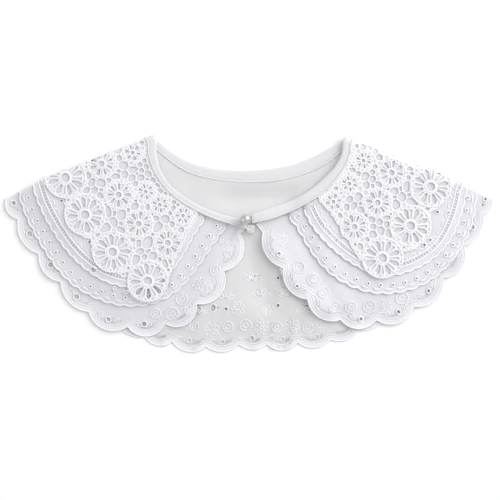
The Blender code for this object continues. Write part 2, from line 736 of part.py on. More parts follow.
def add_loop(context):
    """The thread loop: from the right band round the shank and back."""
    x_end, y_upper, y_lower = LOOP_ENDS
    turn = [
        (
            PEARL_AT[0] + LOOP_TURN_RADIUS * math.cos(math.radians(a)),
            PEARL_AT[1] + LOOP_TURN_RADIUS * math.sin(math.radians(a)),
        )
        for a in range(90, 271, LOOP_TURN_STEP)
    ]
    route = [(x_end, y_upper), *turn, (x_end, y_lower)]
    curve = bpy.data.curves.new("button_loop", "CURVE")
    curve.dimensions = "3D"
    curve.bevel_depth = LOOP_RADIUS * MM
    curve.bevel_resolution = 2
    curve.use_fill_caps = True
    spline = curve.splines.new("POLY")
    spline.points.add(len(route) - 1)
    for point, place in zip(spline.points, route):
        point.co = (place[0] * MM, place[1] * MM, LOOP_HEIGHT * MM, 1.0)
    return add_object("button_loop", curve, **context)


def new_collection(name):
    made = bpy.data.collections.new(name)
    bpy.context.scene.collection.children.link(made)
    return made


def main():
    for old in list(bpy.data.objects):
        bpy.data.objects.remove(old)
    collar = new_collection("lace_collar")
    guides = new_collection("cutters")
    origin = bpy.data.objects.new("collar_origin", None)
    collar.objects.link(origin)

    def made_of(material):
        return {"collection": collar, "parent": origin, "material": material}

    cotton = finish("cotton_lawn", COTTON, 0.85)
    lace = finish("guipure_lace", LACE_WHITE, 0.8)
    binding = finish("cotton_binding", COTTON, 0.8)
    back = add_back(made_of(cotton))
    back_top = PLATEAU + WALL
    back_holes = [(hole, ROUND_CORNERS) for hole in BACK_HOLES]
    boolean(back, add_cutter("back_cutter", back_holes, 0.0, back_top + CUTTER_REACH, guides, origin))
    add_hidden_tiers(made_of(cotton), guides)
    for side, outward in (("left", -1), ("right", 1)):
        scallops = Hem(BASE_HEMS[side], outward)
        add_front("base_front_" + side, side, scallops, BASE, BASE_GRID, made_of(cotton))
        crescents = evenly_scalloped(CRESCENT_HEMS[side], CRESCENT_PITCH, CRESCENT_RISE, outward)
        add_front("crescent_front_" + side, side, crescents, CRESCENT, CRESCENT_GRID, made_of(cotton))
        ladders = evenly_scalloped(LADDER_HEMS[side], LADDER_PITCH, LADDER_RISE, outward)
        add_front("ladder_front_" + side, side, ladders, LADDER, LADDER_GRID, made_of(cotton))
        lobes = Hem(LACE_HEMS[side], outward)
        yoke = add_front("lace_front_" + side, side, lobes, LACE, LACE_GRID, made_of(lace))
        top = PLATEAU + FOLD_MIDDLE + layer_radius(LACE) + WALL / 2
        low, high = top - CUTTER_REACH, top + CUTTER_REACH
        boolean(yoke, add_cutter("lace_cutter_" + side, lace_holes(side), low, high, guides, origin))
        add_band_front(side, made_of(binding))
    add_band_back(made_of(binding))
    add_pearl(made_of(finish("pearl", PEARL_CREAM, 0.2)), guides)
    add_loop(made_of(finish("loop_thread", THREAD, 0.7)))


main()
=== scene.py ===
# %% [markdown]
# # A tiered lace collar, laid flat
# The collar is folded at both shoulders and lies with its fronts over its back, wrong side of the
# back up. We start from the plain solids of its four tiers, its neck binding, its pearl button and
# its thread loop. They fix every size and place, and the cloth, lace and stitching are made on them.

# %% Load the plain collar
import math
from collections import namedtuple

import bmesh
import bpy
import numpy as np
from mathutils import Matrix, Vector, geometry


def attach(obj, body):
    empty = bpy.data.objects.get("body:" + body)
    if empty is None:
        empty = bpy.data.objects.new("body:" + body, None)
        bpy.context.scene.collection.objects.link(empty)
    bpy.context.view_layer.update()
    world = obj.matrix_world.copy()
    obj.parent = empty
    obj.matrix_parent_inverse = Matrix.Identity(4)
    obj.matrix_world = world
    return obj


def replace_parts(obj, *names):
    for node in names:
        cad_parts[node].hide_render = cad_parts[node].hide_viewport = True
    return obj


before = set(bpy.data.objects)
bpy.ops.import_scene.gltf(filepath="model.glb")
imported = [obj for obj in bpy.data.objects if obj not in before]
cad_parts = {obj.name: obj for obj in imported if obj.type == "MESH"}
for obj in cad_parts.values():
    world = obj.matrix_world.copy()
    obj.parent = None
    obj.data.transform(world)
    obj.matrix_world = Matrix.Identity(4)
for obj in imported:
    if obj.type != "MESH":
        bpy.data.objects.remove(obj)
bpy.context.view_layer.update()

MM = 0.001

# %% [markdown]
# ## Camera
# A laid-out collar is photographed from straight above, with a long lens so that the higher layers
# aren't drawn larger than the lower ones. The picture is square and shows 0.917 mm in each of its
# 500 points. We look down from over its middle with a 100 mm lens.

# %% Camera straight above
SHOWN_MM = 500 * 0.917
LENS, SENSOR = 100.0, 36.0
MIDDLE = (0.9, -6.4)
camera_data = bpy.data.cameras.new("camera")
camera_data.lens = LENS
camera_data.sensor_width = SENSOR
camera_data.clip_end = 20.0
camera = bpy.data.objects.new("camera", camera_data)
camera.location = (MIDDLE[0] * MM, MIDDLE[1] * MM, (SHOWN_MM * LENS / SENSOR + 6.0) * MM)
bpy.context.scene.collection.objects.link(camera)
bpy.context.scene.camera = camera
print("camera height, m:", round(camera.location.z, 3))

# %% [markdown]
# ## Light and floor
# White cloth on white shows only by its shadows, so the light has a direction: a large soft lamp
# at the upper right throws each layer's shadow to the lower left, and a weak lamp and a pale sky
# fill it in. The floor is a plain pale sheet, a little whiter than the cloth.

# %% Lamps, sky and floor
Lamp = namedtuple("Lamp", "name place size watts")
LAMPS = [
    Lamp("key_lamp", (1.70, 1.15, 1.20), 2.1, 51.5),
    Lamp("fill_lamp", (-1.1, -0.3, 1.0), 0.8, 2.3),
]
for lamp in LAMPS:
    light = bpy.data.lights.new(lamp.name, "AREA")
    light.size = lamp.size
    light.energy = lamp.watts
    holder = bpy.data.objects.new(lamp.name, light)
    holder.location = lamp.place
    holder.rotation_euler = Vector(lamp.place).to_track_quat("Z", "Y").to_euler()
    bpy.context.scene.collection.objects.link(holder)

SKY_STRENGTH = 0.71
sky = bpy.data.worlds.new("sky")
sky.use_nodes = True
sky.node_tree.nodes["Background"].inputs["Color"].default_value = (1.0, 1.0, 1.0, 1.0)
sky.node_tree.nodes["Background"].inputs["Strength"].default_value = SKY_STRENGTH
bpy.context.scene.world = sky
bpy.context.scene.view_settings.view_transform = "Standard"
print("lamps:", [lamp.name for lamp in LAMPS])

# %% [markdown]
# ## A way to write materials
# Weave, stitches and stains are sums and products of a few waves and noises. One small class
# stands for a socket, so that they can be written as Python expressions, and one method adds any
# other node from its type, its settings and what goes into its sockets.

# %% Sockets that add and multiply
class Wire:
    """A number that varies over a surface: the output of a node."""

    def __init__(self, paint, socket):
        self.paint = paint
        self.socket = socket

    def worked(self, operation, first, second=None):
        inputs = {0: first} if second is None else {0: first, 1: second}
        return self.paint.node("ShaderNodeMath", {"operation": operation}, inputs)

    def __add__(self, other):
        return self.worked("ADD", self, other)

    def __mul__(self, other):
        return self.worked("MULTIPLY", self, other)

    def __sub__(self, other):
        return self.worked("SUBTRACT", self, other)

    def __rsub__(self, other):
        return self.worked("SUBTRACT", other, self)

    __radd__, __rmul__ = __add__, __mul__

    def sine(self):
        return self.worked("SINE", self)


class Paint:
    """A material whose nodes are added by one method."""

    def __init__(self, name):
        self.material = bpy.data.materials.new(name)
        self.material.use_nodes = True
        self.tree = self.material.node_tree
        self.shader = self.tree.nodes["Principled BSDF"]

    def node(self, kind, settings=None, inputs=None, out=0):
        made = self.tree.nodes.new(kind)
        for key, value in (settings or {}).items():
            setattr(made, key, value)
        for key, value in (inputs or {}).items():
            self.join(value, made.inputs[key])
        return Wire(self, made.outputs[out])

    def join(self, value, socket):
        if isinstance(value, Wire):
            self.tree.links.new(value.socket, socket)
        else:
            socket.default_value = value

    def set(self, **values):
        for key, value in values.items():
            self.join(value, self.shader.inputs[key.replace("_", " ")])
        return self.material

    def place(self, source="Object"):
        return self.node("ShaderNodeTexCoord", out=source)

    def parts(self, vector):
        split = self.node("ShaderNodeSeparateXYZ", inputs={0: vector}).socket.node
        return [Wire(self, output) for output in split.outputs]

    def noise(self, vector, scale, detail=2.0):
        return self.node("ShaderNodeTexNoise", inputs={"Vector": vector, "Scale": scale, "Detail": detail})

    def blend(self, factor, first, second):
        return self.node(
            "ShaderNodeMix", {"data_type": "RGBA"}, {0: factor, 6: (*first, 1.0), 7: (*second, 1.0)}, 2
        )

    def bump(self, height, distance, strength):
        return self.node(
            "ShaderNodeBump", inputs={"Height": height, "Distance": distance, "Strength": strength}
        )


# %% [markdown]
# ## Cloth and thread finishes
# Lawn is a plain weave of fine white threads, so its bump is two crossed sets of waves, and its
# colour varies a little where it is thicker or thinner. Satin stitches lie side by side across a
# cord: their waves run along its own length, which its UV map keeps.

# %% Materials
TURN = 2 * math.pi


def woven(name, light, shade, pitch_mm, slant=0.0, depth=0.00006):
    paint = Paint(name)
    place = paint.place()
    x, y, _ = paint.parts(place)
    rate = TURN / (pitch_mm * MM)
    c, s = math.cos(slant), math.sin(slant)
    threads = ((x * c + y * s) * rate).sine() + ((y * c - x * s) * rate).sine()
    clouds = paint.noise(place, 38.0)
    slubs = paint.noise(place, 900.0, 1.0)
    return paint.set(
        Base_Color=paint.blend(clouds * 0.75 + slubs * 0.25, shade, light),
        Roughness=slubs * 0.1 + 0.78,
        Sheen_Weight=0.25,
        Normal=paint.bump(threads * 0.5 + slubs * 1.4 + clouds * 2.0, depth, 0.55),
    )


def stitched(name, light, shade, pitch_mm, roughness=0.5):
    paint = Paint(name)
    along, _, _ = paint.parts(paint.place("UV"))
    fuzz = paint.noise(paint.place(), 1500.0, 1.0)
    threads = (along * (TURN / pitch_mm)).sine()
    return paint.set(
        Base_Color=paint.blend(threads * 0.2 + fuzz * 0.8, shade, light),
        Roughness=fuzz * 0.15 + roughness,
        Sheen_Weight=0.3,
        Normal=paint.bump(threads * 0.5 + fuzz, 0.00008, 0.6),
    )


def corded(name, light, shade):
    """Guipure cords, which are wound with thread in every direction."""
    paint = Paint(name)
    place = paint.place()
    fuzz = paint.noise(place, 1300.0, 2.0)
    wound = paint.noise(place, 420.0, 1.0)
    return paint.set(
        Base_Color=paint.blend(fuzz * 0.6 + wound * 0.4, shade, light),
        Roughness=fuzz * 0.15 + 0.55,
        Sheen_Weight=0.3,
        Normal=paint.bump(fuzz + wound, 0.00012, 0.6),
    )


def netted(name, light, shade):
    """Guipure whose UV map says where it is cord, at 0, and where it is a cell's sunk middle, at 1, which is painted
    darker as shade.
    """
    paint = Paint(name)
    place = paint.place()
    fuzz = paint.noise(place, 1300.0, 2.0)
    painted_shade_mask, _, _ = paint.parts(paint.place("UV"))
    return paint.set(
        Base_Color=paint.blend(fuzz * 0.5 + 0.55 - painted_shade_mask * 0.75, shade, light),
        Roughness=fuzz * 0.15 + 0.55,
        Sheen_Weight=0.3,
        Normal=paint.bump(fuzz, 0.00012, 0.6),
    )


LAWN = woven("cotton_lawn", (0.75, 0.742, 0.785), (0.675, 0.667, 0.706), 0.42)
# The back's lawn is the same lawn painted darker and warmer: painted shade over the whole back.
LAWN_SHADED_BACK = woven("lawn_shaded_back", (0.725, 0.717, 0.73), (0.65, 0.642, 0.65), 0.42)
# A dark strip between the ladder's rails: painted shade where the openings under its bars would be.
LADDER_GAP_SHADE = woven("ladder_gap_shade", (0.56, 0.554, 0.58), (0.48, 0.474, 0.50), 0.8)
BINDING = woven("bias_binding", (0.745, 0.74, 0.765), (0.68, 0.675, 0.70), 0.42, math.radians(45))
SATIN = stitched("satin_stitch", (0.94, 0.933, 0.97), (0.84, 0.833, 0.87), 0.9)
BORDER = stitched("border_stitch", (0.825, 0.818, 0.858), (0.70, 0.693, 0.732), 1.9, 0.6)
SEWING = stitched("sewing_thread", (0.86, 0.855, 0.87), (0.66, 0.655, 0.67), 0.4)
LACE = corded("guipure_cord", (0.90, 0.893, 0.93), (0.82, 0.813, 0.85))
# The lace's darker colour is painted shade in the sunk middles of its cells.
LACE_NET = netted("guipure_lace", (0.88, 0.873, 0.91), (0.66, 0.652, 0.685))
LOOP_THREAD = stitched("loop_thread", (0.84, 0.79, 0.71), (0.68, 0.62, 0.53), 0.8)

pearl_paint = Paint("pearl_finish")
lustre = pearl_paint.noise(pearl_paint.place(), 260.0, 2.0)
PEARL = pearl_paint.set(
    Base_Color=pearl_paint.blend(lustre, (0.54, 0.535, 0.53), (0.66, 0.655, 0.65)),
    Roughness=lustre * 0.06 + 0.12,
    Metallic=0.8,
    Coat_Weight=1.0,
    Coat_Roughness=0.12,
)

floor_paint = Paint("floor_paper")
grain = floor_paint.noise(floor_paint.place(), 400.0, 1.0)
FLOOR = floor_paint.set(
    Base_Color=floor_paint.blend(grain, (0.93, 0.93, 0.93), (0.95, 0.95, 0.95)), Roughness=0.9
)
print("finishes:", len(bpy.data.materials))

# %% [markdown]
# ## The shape that the cloth lies on
# Every tier is drawn flat first, as a maker draws a pattern, in millimetres. A pattern then comes to
# lie on the collar: it rises with the layers under it, carries its soft waves, and goes round the
# shoulder's fold. What is drawn past the fold line goes round a half circle whose length is the
# same, so no thread is stretched.

# %% Sizes of the layers
WALL = 1.0
LAYER_GAP = 0.42
STEP = WALL + LAYER_GAP
HIDDEN_LAYERS = 3
PLATEAU = HIDDEN_LAYERS * STEP
RAMP = 38.0
BACK_MIDDLE = WALL / 2
FOLD_MIDDLE = WALL + LAYER_GAP / 2
BAND_HEIGHT = 4 * STEP - LAYER_GAP
BAND_MIDDLE = STEP + BAND_HEIGHT / 2
CLOTH = 0.34  # thickness of the lawn itself
LOWEST = 0.3  # a cloth's middle is never lower than this over the floor
RIPPLE_FADE = 24.0
BASE, CRESCENT, LADDER, YOKE = range(4)

Fold = namedtuple("Fold", "neck hem")
Ripple = namedtuple("Ripple", "x0 y0 x1 y1 width rise")
LIFTS = {  # where a front stands off the back along its opening
    "left": Ripple(-22.0, -8.0, -48.0, -50.0, 9.0, 1.3),
    "right": Ripple(17.0, -2.0, 58.0, -58.0, 11.0, 4.0),
}
FOLDS = {
    "left": Fold((-92.6, 91.7), (-224.0, 39.9)),
    "right": Fold((93.5, 90.7), (223.4, 40.4)),
}
OUTWARD = {"left": -1, "right": 1}
RIPPLES = {
    "left": [
        Ripple(-26.0, 8.0, -60.0, -76.0, 11.0, 1.4), Ripple(-98.0, -50.0, -118.0, -90.0, 12.0, 1.1),
        Ripple(-152.0, -14.0, -186.0, -36.0, 12.0, 0.9),
    ],
    "right": [
        Ripple(34.0, 12.0, 66.0, -50.0, 7.0, 1.9), Ripple(56.0, 20.0, 94.0, -70.0, 8.0, 1.7),
        Ripple(122.0, -32.0, 140.0, -74.0, 12.0, 0.9), Ripple(168.0, -2.0, 196.0, -22.0, 12.0, 0.9),
    ],
}
Valley = namedtuple("Valley", "x y rise")
BACK_HEM = [
    Valley(-222.3, 39.9, 3.7), Valley(-208.2, 20.5, 1.2), Valley(-189.8, -2.8, 2.4),
    Valley(-171.5, -27.5, 4.6), Valley(-147.6, -55.0, 4.6), Valley(-122.0, -73.4, 5.0),
    Valley(-96.3, -86.2, 6.0), Valley(-70.6, -90.8, 7.3), Valley(-39.4, -95.4, 6.0),
    Valley(-9.2, -93.5, 4.9), Valley(16.5, -93.1, 6.6), Valley(44.9, -91.7, 6.4),
    Valley(75.2, -88.9, 5.0), Valley(100.0, -80.7, 4.1), Valley(125.6, -68.8, 4.6),
    Valley(149.5, -50.4, 4.6), Valley(173.3, -24.8, 4.6), Valley(192.6, 3.7, 4.6),
    Valley(209.1, 26.0, 3.7), Valley(221.6, 40.5, 0.0),
]
BACK_SEAM = [
    (-92.0, 91.3), (-85.3, 85.6), (-72.4, 75.2), (-60.5, 66.9), (-44.9, 61.0), (-22.0, 56.8),
    (0.9, 55.4), (23.8, 56.6), (46.8, 61.8), (60.5, 67.0), (74.3, 74.9), (86.2, 84.9), (92.9, 90.3),
]
Dip = namedtuple("Dip", "x0 y0 x1 y1 width share")
DIPS = [  # where the back sinks onto the hidden tiers, and how much of its height goes
    Dip(-16.0, 41.0, 34.0, 43.0, 11.0, 0.74), Dip(2.0, 2.0, 16.0, -58.0, 11.0, 0.74),
]
FIRM = 13.0  # nothing sinks beside the neck seam


# %% Distances and heights, for many points at once
def distances(points, line):
    """How far each point is from a line of straight pieces."""
    start, way = line[:-1], np.diff(line, axis=0)
    offset = points[:, None, :] - start
    share = np.clip((offset * way).sum(2) / (way**2).sum(1), 0.0, 1.0)
    return np.linalg.norm(offset - way * share[..., None], axis=2).min(1)


def within(points, outline):
    """Which points are inside a closed outline."""
    x0, y0 = outline[:, 0], outline[:, 1]
    x1, y1 = np.roll(x0, -1), np.roll(y0, -1)
    x, y = points[:, :1], points[:, 1:2]
    crosses = (y0 > y) != (y1 > y)
    with np.errstate(divide="ignore", invalid="ignore"):
        meets = x0 + (y - y0) * (x1 - x0) / (y1 - y0)
    return np.count_nonzero(crosses & (x < meets), axis=1) % 2 == 1


def eased(t):
    t = np.clip(t, 0.0, 1.0)
    return t * t * (3 - 2 * t)


FAR_UP = 400.0
BACK_LINE = np.array([(v.x, v.y) for v in BACK_HEM])
BACK_REGION = np.vstack([BACK_LINE, [[BACK_HEM[-1].x, FAR_UP], [BACK_HEM[0].x, FAR_UP]]])


def inset(points):
    """How far points are inside the back's hem, less than 0 outside it."""
    return distances(points, BACK_LINE) * np.where(within(points, BACK_REGION), 1.0, -1.0)


def pressed(points):
    """What share of its height a stack of layers keeps."""
    kept = np.ones(len(points))
    for dip in DIPS:
        off = distances(points, np.array([(dip.x0, dip.y0), (dip.x1, dip.y1)]))
        kept -= dip.share * np.exp(-((off / dip.width) ** 2))
    loose = eased(distances(points, np.array(BACK_SEAM)) / FIRM)
    return 1.0 - loose * (1.0 - np.maximum(kept, 0.26))


def back_height(points):
    return PLATEAU * eased(inset(points) / RAMP) * pressed(points)


def layer_radius(layer):
    return STEP / 2 + layer * STEP


# %% Laying a flat pattern on the collar
SOFT_WAVE = 0.22  # height of the unevenness that any cloth keeps


def soft_waves(points):
    x, y = points[:, 0], points[:, 1]
    return SOFT_WAVE * (np.sin(x / 9.5 + y / 17.0) + np.sin(y / 11.0 - x / 23.0 + 1.3)) / 2


class Front:
    """Where a flat pattern of one front lies: columns are x, y and how far it stands off the cloth."""

    def __init__(self, side, radius):
        self.radius = radius
        self.ripples = RIPPLES[side]
        self.lift = LIFTS[side]
        self.fold = np.array(FOLDS[side])
        way = self.fold[1] - self.fold[0]
        way /= np.linalg.norm(way)
        out = np.array([-way[1], way[0]])
        self.out = out if out[1] > 0 else -out
        self.reach = math.pi * radius

    def past_fold(self, points):
        return (points - self.fold[0]) @ self.out

    def lay(self, flat):
        points, relief = flat[:, :2], flat[:, 2]
        past = np.maximum(self.past_fold(points), 0.0)
        foot = points - past[:, None] * self.out
        turn = past / self.radius
        radius = self.radius + relief
        spot = foot + (radius * np.sin(turn))[:, None] * self.out
        height = back_height(foot) + FOLD_MIDDLE + radius * np.cos(turn)
        calm = eased(distances(foot, self.fold) / RIPPLE_FADE)
        height += calm * (soft_waves(foot) + self.waves(foot))
        return np.column_stack([spot, np.maximum(height, LOWEST)])

    def waves(self, points):
        total = np.zeros(len(points))
        for r in self.ripples:
            start = np.array([r.x0, r.y0])
            way = np.array([r.x1, r.y1]) - start
            share = (points - start) @ way / (way @ way)
            across = np.linalg.norm(points - start - share[:, None] * way, axis=1) / r.width
            along = eased(share * np.linalg.norm(way) / RIPPLE_FADE)
            total += r.rise * along * np.exp(-(across**2))
        r = self.lift
        off = distances(points, np.array([(r.x0, r.y0), (r.x1, r.y1)]))
        return total + r.rise * np.exp(-((off / r.width) ** 2))


class Back:
    """Where the back lies, its wrong side up: its folds run from the neck towards the hem."""

    FOLDS_AT = (15.0, 31.0, 47.0, -38.0, -70.0)

    def lay(self, flat):
        points, relief = flat[:, :2], flat[:, 2]
        height = back_height(points) + BACK_MIDDLE + relief + SOFT_WAVE
        for x in self.FOLDS_AT:
            across = (points[:, 0] - x - (points[:, 1] - 50.0) * 0.06) / 4.0
            height += 0.8 * np.exp(-(across**2)) * eased((54.0 - points[:, 1]) / 16.0)
        height += soft_waves(points) * eased(inset(points) / 20.0)
        return np.column_stack([points, np.maximum(height, LOWEST)])


print("plateau of the hidden layers, mm:", PLATEAU)

# %% [markdown]
# ## Lines of the pattern
# Seams and hems are smooth curves through a few measured points. A scalloped hem is a chain of
# arcs, each bulging out between two valleys. Rows of eyelets and cords follow the same lines a
# little further in.

# %% Curves, scallops and insets
CURVE_STEPS = 10
ARC_STEPS = 16


def smooth_line(points):
    knots = np.array(points, float)
    gaps = np.linalg.norm(np.diff(knots, axis=0), axis=1)
    slopes = np.gradient(knots, np.concatenate([[0.0], np.cumsum(gaps)]), axis=0)
    line = []
    for k, gap in enumerate(gaps):
        for t in np.arange(CURVE_STEPS) / CURVE_STEPS:
            line.append(
                (2 * t**3 - 3 * t**2 + 1) * knots[k]
                + (t**3 - 2 * t**2 + t) * gap * slopes[k]
                + (3 * t**2 - 2 * t**3) * knots[k + 1]
                + (t**3 - t**2) * gap * slopes[k + 1]
            )
    return np.array(line + [knots[-1]])


def lengths_along(line):
    return np.concatenate([[0.0], np.cumsum(np.linalg.norm(np.diff(line, axis=0), axis=1))])


def at_lengths(line, where):
    along = lengths_along(line)
    return np.column_stack([np.interp(where, along, line[:, axis]) for axis in (0, 1)])


def spaced(line, spacing, shift=0.0):
    """Points about evenly spaced along a line, with a shift in parts of the spacing."""
    total = lengths_along(line)[-1]
    count = max(1, round(total / spacing))
    return at_lengths(line, (np.arange(count + (shift == 0.0)) + shift) * total / count)


def normals(line, outward):
    way = np.gradient(line, axis=0)
    way /= np.linalg.norm(way, axis=1)[:, None]
    return outward * np.column_stack([way[:, 1], -way[:, 0]])


def moved_in(line, distance, outward):
    return line - distance * normals(line, outward)


def arc(start, end, rise, outward):
    """Points of an arc from one valley to the next, without the last."""
    half = np.linalg.norm(end - start) / 2
    along = (end - start) / (2 * half)
    out = outward * np.array([along[1], -along[0]])
    middle = (start + end) / 2
    t = np.arange(ARC_STEPS) / ARC_STEPS * 2 - 1
    if rise == 0.0:
        return middle + np.outer(t * half, along)
    radius = (half**2 + rise**2) / (2 * rise)
    angle = 2 * math.atan2(rise, half) * t
    return middle + np.outer(np.sin(angle), along * radius) + np.outer(np.cos(angle) * radius - radius + rise, out)


def scalloped(valleys, outward):
    """All arcs of a hem, each a list of points that ends in the next valley."""
    knots = np.array([(v[0], v[1]) for v in valleys])
    arcs = []
    for k in range(len(knots) - 1):
        arcs.append(np.vstack([arc(knots[k], knots[k + 1], valleys[k][2], outward), knots[k + 1 : k + 2]]))
    return arcs


def evenly_scalloped(points, pitch, rise, outward):
    valleys = [(x, y, rise) for x, y in spaced(smooth_line(points), pitch)]
    return scalloped(valleys, outward)


def joined(arcs):
    return np.vstack([points[:-1] for points in arcs] + [arcs[-1][-1:]])


SEAMS = {
    "left": [
        (-2.8, 12.4), (-13.8, 16.5), (-34.3, 23.2), (-52.5, 32.1), (-66.5, 41.3), (-83.4, 59.6),
        (-90.3, 74.3), (-92.6, 84.4), (-92.6, 91.7),
    ],
    "right": [
        (5.3, 18.6), (20.6, 22.0), (36.7, 28.0), (52.1, 35.8), (71.1, 48.1), (81.3, 59.6),
        (89.4, 72.4), (93.1, 83.4), (93.5, 90.7),
    ],
}
NECK_EDGES = {
    "left": [
        (-0.2, 21.5), (-12.8, 23.4), (-31.2, 28.4), (-54.1, 39.4), (-72.4, 53.2), (-82.6, 71.5),
        (-84.8, 85.3), (-84.4, 94.9),
    ],
    "right": [
        (4.1, 26.9), (19.3, 32.1), (35.8, 37.9), (55.0, 48.1), (69.7, 60.5), (78.9, 70.6),
        (85.0, 83.4), (85.7, 93.7),
    ],
}
BACK_NECK_EDGE = [
    (-84.0, 94.5), (-72.4, 85.3), (-61.4, 77.9), (-44.9, 71.5), (-26.6, 67.9), (-12.8, 66.9),
    (0.9, 66.9), (19.3, 68.3), (37.6, 71.5), (46.8, 74.3), (60.5, 79.8), (74.3, 87.1), (85.2, 93.2),
]
BASE_HEMS = {
    "left": [
        Valley(-3.4, 11.9, 0.0), Valley(-8.3, 9.2, 10.5), Valley(-22.9, -25.7, 11.5),
        Valley(-47.7, -55.9, 11.0), Valley(-77.0, -74.3, 10.5), Valley(-111.6, -77.0, 10.1),
        Valley(-147.6, -63.3, 7.3), Valley(-173.3, -35.8, 6.7), Valley(-193.5, -10.1, 7.3),
        Valley(-212.7, 22.0, 4.6), Valley(-224.0, 39.9, 0.0),
    ],
    "right": [
        Valley(5.9, 17.9, 0.0), Valley(12.4, 9.6, 7.8), Valley(31.2, -22.9, 8.3),
        Valley(53.2, -51.4, 8.7), Valley(84.0, -70.6, 8.3), Valley(117.3, -71.0, 9.6),
        Valley(152.0, -58.5, 9.6), Valley(178.8, -32.1, 9.0), Valley(198.1, -2.8, 6.4),
        Valley(215.5, 26.6, 3.7), Valley(223.4, 40.4, 0.0),
    ],
}
CRESCENT_PITCH, CRESCENT_RISE = 11.5, 1.8
CRESCENT_HEMS = {
    "left": [
        (-21.1, 16.5), (-33.0, 0.0), (-51.4, -26.6), (-65.1, -42.2), (-81.6, -52.3), (-100.0, -56.8),
        (-118.3, -56.4), (-143.5, -48.5), (-164.1, -35.6), (-181.6, -14.7), (-195.3, 7.3),
        (-206.2, 30.3), (-210.5, 45.2),
    ],
    "right": [
        (36.7, 24.8), (42.2, 18.0), (56.9, -6.4), (69.7, -22.9), (90.8, -37.6), (113.7, -44.9),
        (143.1, -43.5), (164.1, -35.0), (190.3, -9.5), (204.0, 17.0), (208.4, 46.2),
    ],
}
LADDER_PITCH, LADDER_RISE = 9.2, 1.3
LADDER_HEMS = {
    "left": [
        (-40.8, 22.0), (-49.5, 10.1), (-63.3, -14.7), (-83.4, -35.0), (-102.0, -40.3),
        (-127.5, -36.2), (-156.8, -17.4), (-178.0, 9.0), (-193.5, 39.4), (-197.1, 50.5),
    ],
    "right": [
        (50.4, 31.2), (55.9, 19.3), (74.3, -2.8), (94.5, -18.4), (125.0, -29.6), (153.1, -22.9),
        (177.9, -5.5), (192.5, 22.0), (199.6, 49.6),
    ],
}
YOKE_HEMS = {
    "left": [
        Valley(-46.8, 23.8, 0.0), Valley(-60.5, 2.8, 0.0), Valley(-74.3, -37.6, 20.2),
        Valley(-110.0, -26.6, 14.7), Valley(-144.0, 3.7, 11.9), Valley(-167.8, 40.3, 4.6),
        Valley(-185.0, 55.3, 0.0),
    ],
    "right": [
        Valley(64.6, 37.6, 0.0), Valley(77.0, 22.9, 0.0), Valley(90.8, 0.9, 0.0),
        Valley(101.8, -17.4, 19.3), Valley(142.1, -8.3, 11.0), Valley(166.0, 28.4, 4.6),
        Valley(188.0, 54.1, 0.0),
    ],
}


def round_fold(line, surface):
    """A line to the fold, led on square to it and round to its underside."""
    return np.vstack([line, line[-1] + surface.out * surface.reach * np.linspace(0.1, 1.0, 9)[:, None]])


def front_outline(side, hem, surface):
    """The flat cut of one tier's front: hem, fold allowance and neck seam."""
    seam = smooth_line(SEAMS[side])
    start = int(np.argmin(np.linalg.norm(seam - hem[0], axis=1)))
    return np.vstack([round_fold(hem, surface), round_fold(seam[start:], surface)[::-1]])


hems = {}
for side, outward in OUTWARD.items():
    hems[side] = {
        BASE: scalloped(BASE_HEMS[side], outward),
        CRESCENT: evenly_scalloped(CRESCENT_HEMS[side], CRESCENT_PITCH, CRESCENT_RISE, outward),
        LADDER: evenly_scalloped(LADDER_HEMS[side], LADDER_PITCH, LADDER_RISE, outward),
        YOKE: scalloped(YOKE_HEMS[side], outward),
    }
    print(side, "scallops from the base up:", [len(arcs) for arcs in hems[side].values()])

# %% [markdown]
# ## Cutting cloth
# A cut piece of lawn is an outline with holes. A flat curve fills both in one step. It then needs
# points inside, so that it can bend: planes cut it into small squares, and closer lines run beside
# the fold. A Solidify modifier gives the cloth its thickness at the end.

# %% Filled outlines that can bend
CELL = 6.0  # spacing of the cuts
FOLD_CUTS = 8  # parts of the half circle round the fold
HOLE_SIDES = 14


def ring(x, y, radius, sides=HOLE_SIDES, squash=1.0, turn=0.0):
    t = np.arange(sides) * TURN / sides
    across, up = radius * np.cos(t), radius * squash * np.sin(t)
    c, s = math.cos(turn), math.sin(turn)
    return np.column_stack([x + across * c - up * s, y + across * s + up * c])


def filled(name, outline, holes):
    curve = bpy.data.curves.new(name, "CURVE")
    curve.dimensions = "2D"
    curve.fill_mode = "BOTH"
    for loop in [outline, *holes]:
        spline = curve.splines.new("POLY")
        spline.points.add(len(loop) - 1)
        for point, spot in zip(spline.points, loop):
            point.co = (spot[0], spot[1], 0.0, 1.0)
        spline.use_cyclic_u = True
    guide = bpy.data.objects.new(name, curve)
    bpy.context.scene.collection.objects.link(guide)
    bpy.context.view_layer.update()
    data = bpy.data.meshes.new_from_object(guide.evaluated_get(bpy.context.evaluated_depsgraph_get()))
    bpy.data.objects.remove(guide)
    return data


def cut_to_bend(data, surface):
    mesh = bmesh.new()
    mesh.from_mesh(data)
    bmesh.ops.remove_doubles(mesh, verts=mesh.verts, dist=0.01)
    spots = np.array([v.co[:2] for v in mesh.verts])
    low, high = spots.min(0), spots.max(0)
    planes = [((x, 0, 0), (1, 0, 0)) for x in np.arange(low[0] + CELL, high[0], CELL)]
    planes += [((0, y, 0), (0, 1, 0)) for y in np.arange(low[1] + CELL, high[1], CELL)]
    if isinstance(surface, Front):
        for past in np.linspace(0.0, surface.reach, FOLD_CUTS + 1):
            spot = surface.fold[0] + surface.out * past
            planes.append(((*spot, 0), (*surface.out, 0)))
    for spot, way in planes:
        everything = mesh.verts[:] + mesh.edges[:] + mesh.faces[:]
        bmesh.ops.bisect_plane(mesh, geom=everything, dist=0.001, plane_co=spot, plane_no=way)
    bmesh.ops.dissolve_degenerate(mesh, edges=mesh.edges, dist=0.02)
    for face in mesh.faces:
        if face.normal.z < 0:
            face.normal_flip()
    mesh.to_mesh(data)
    mesh.free()


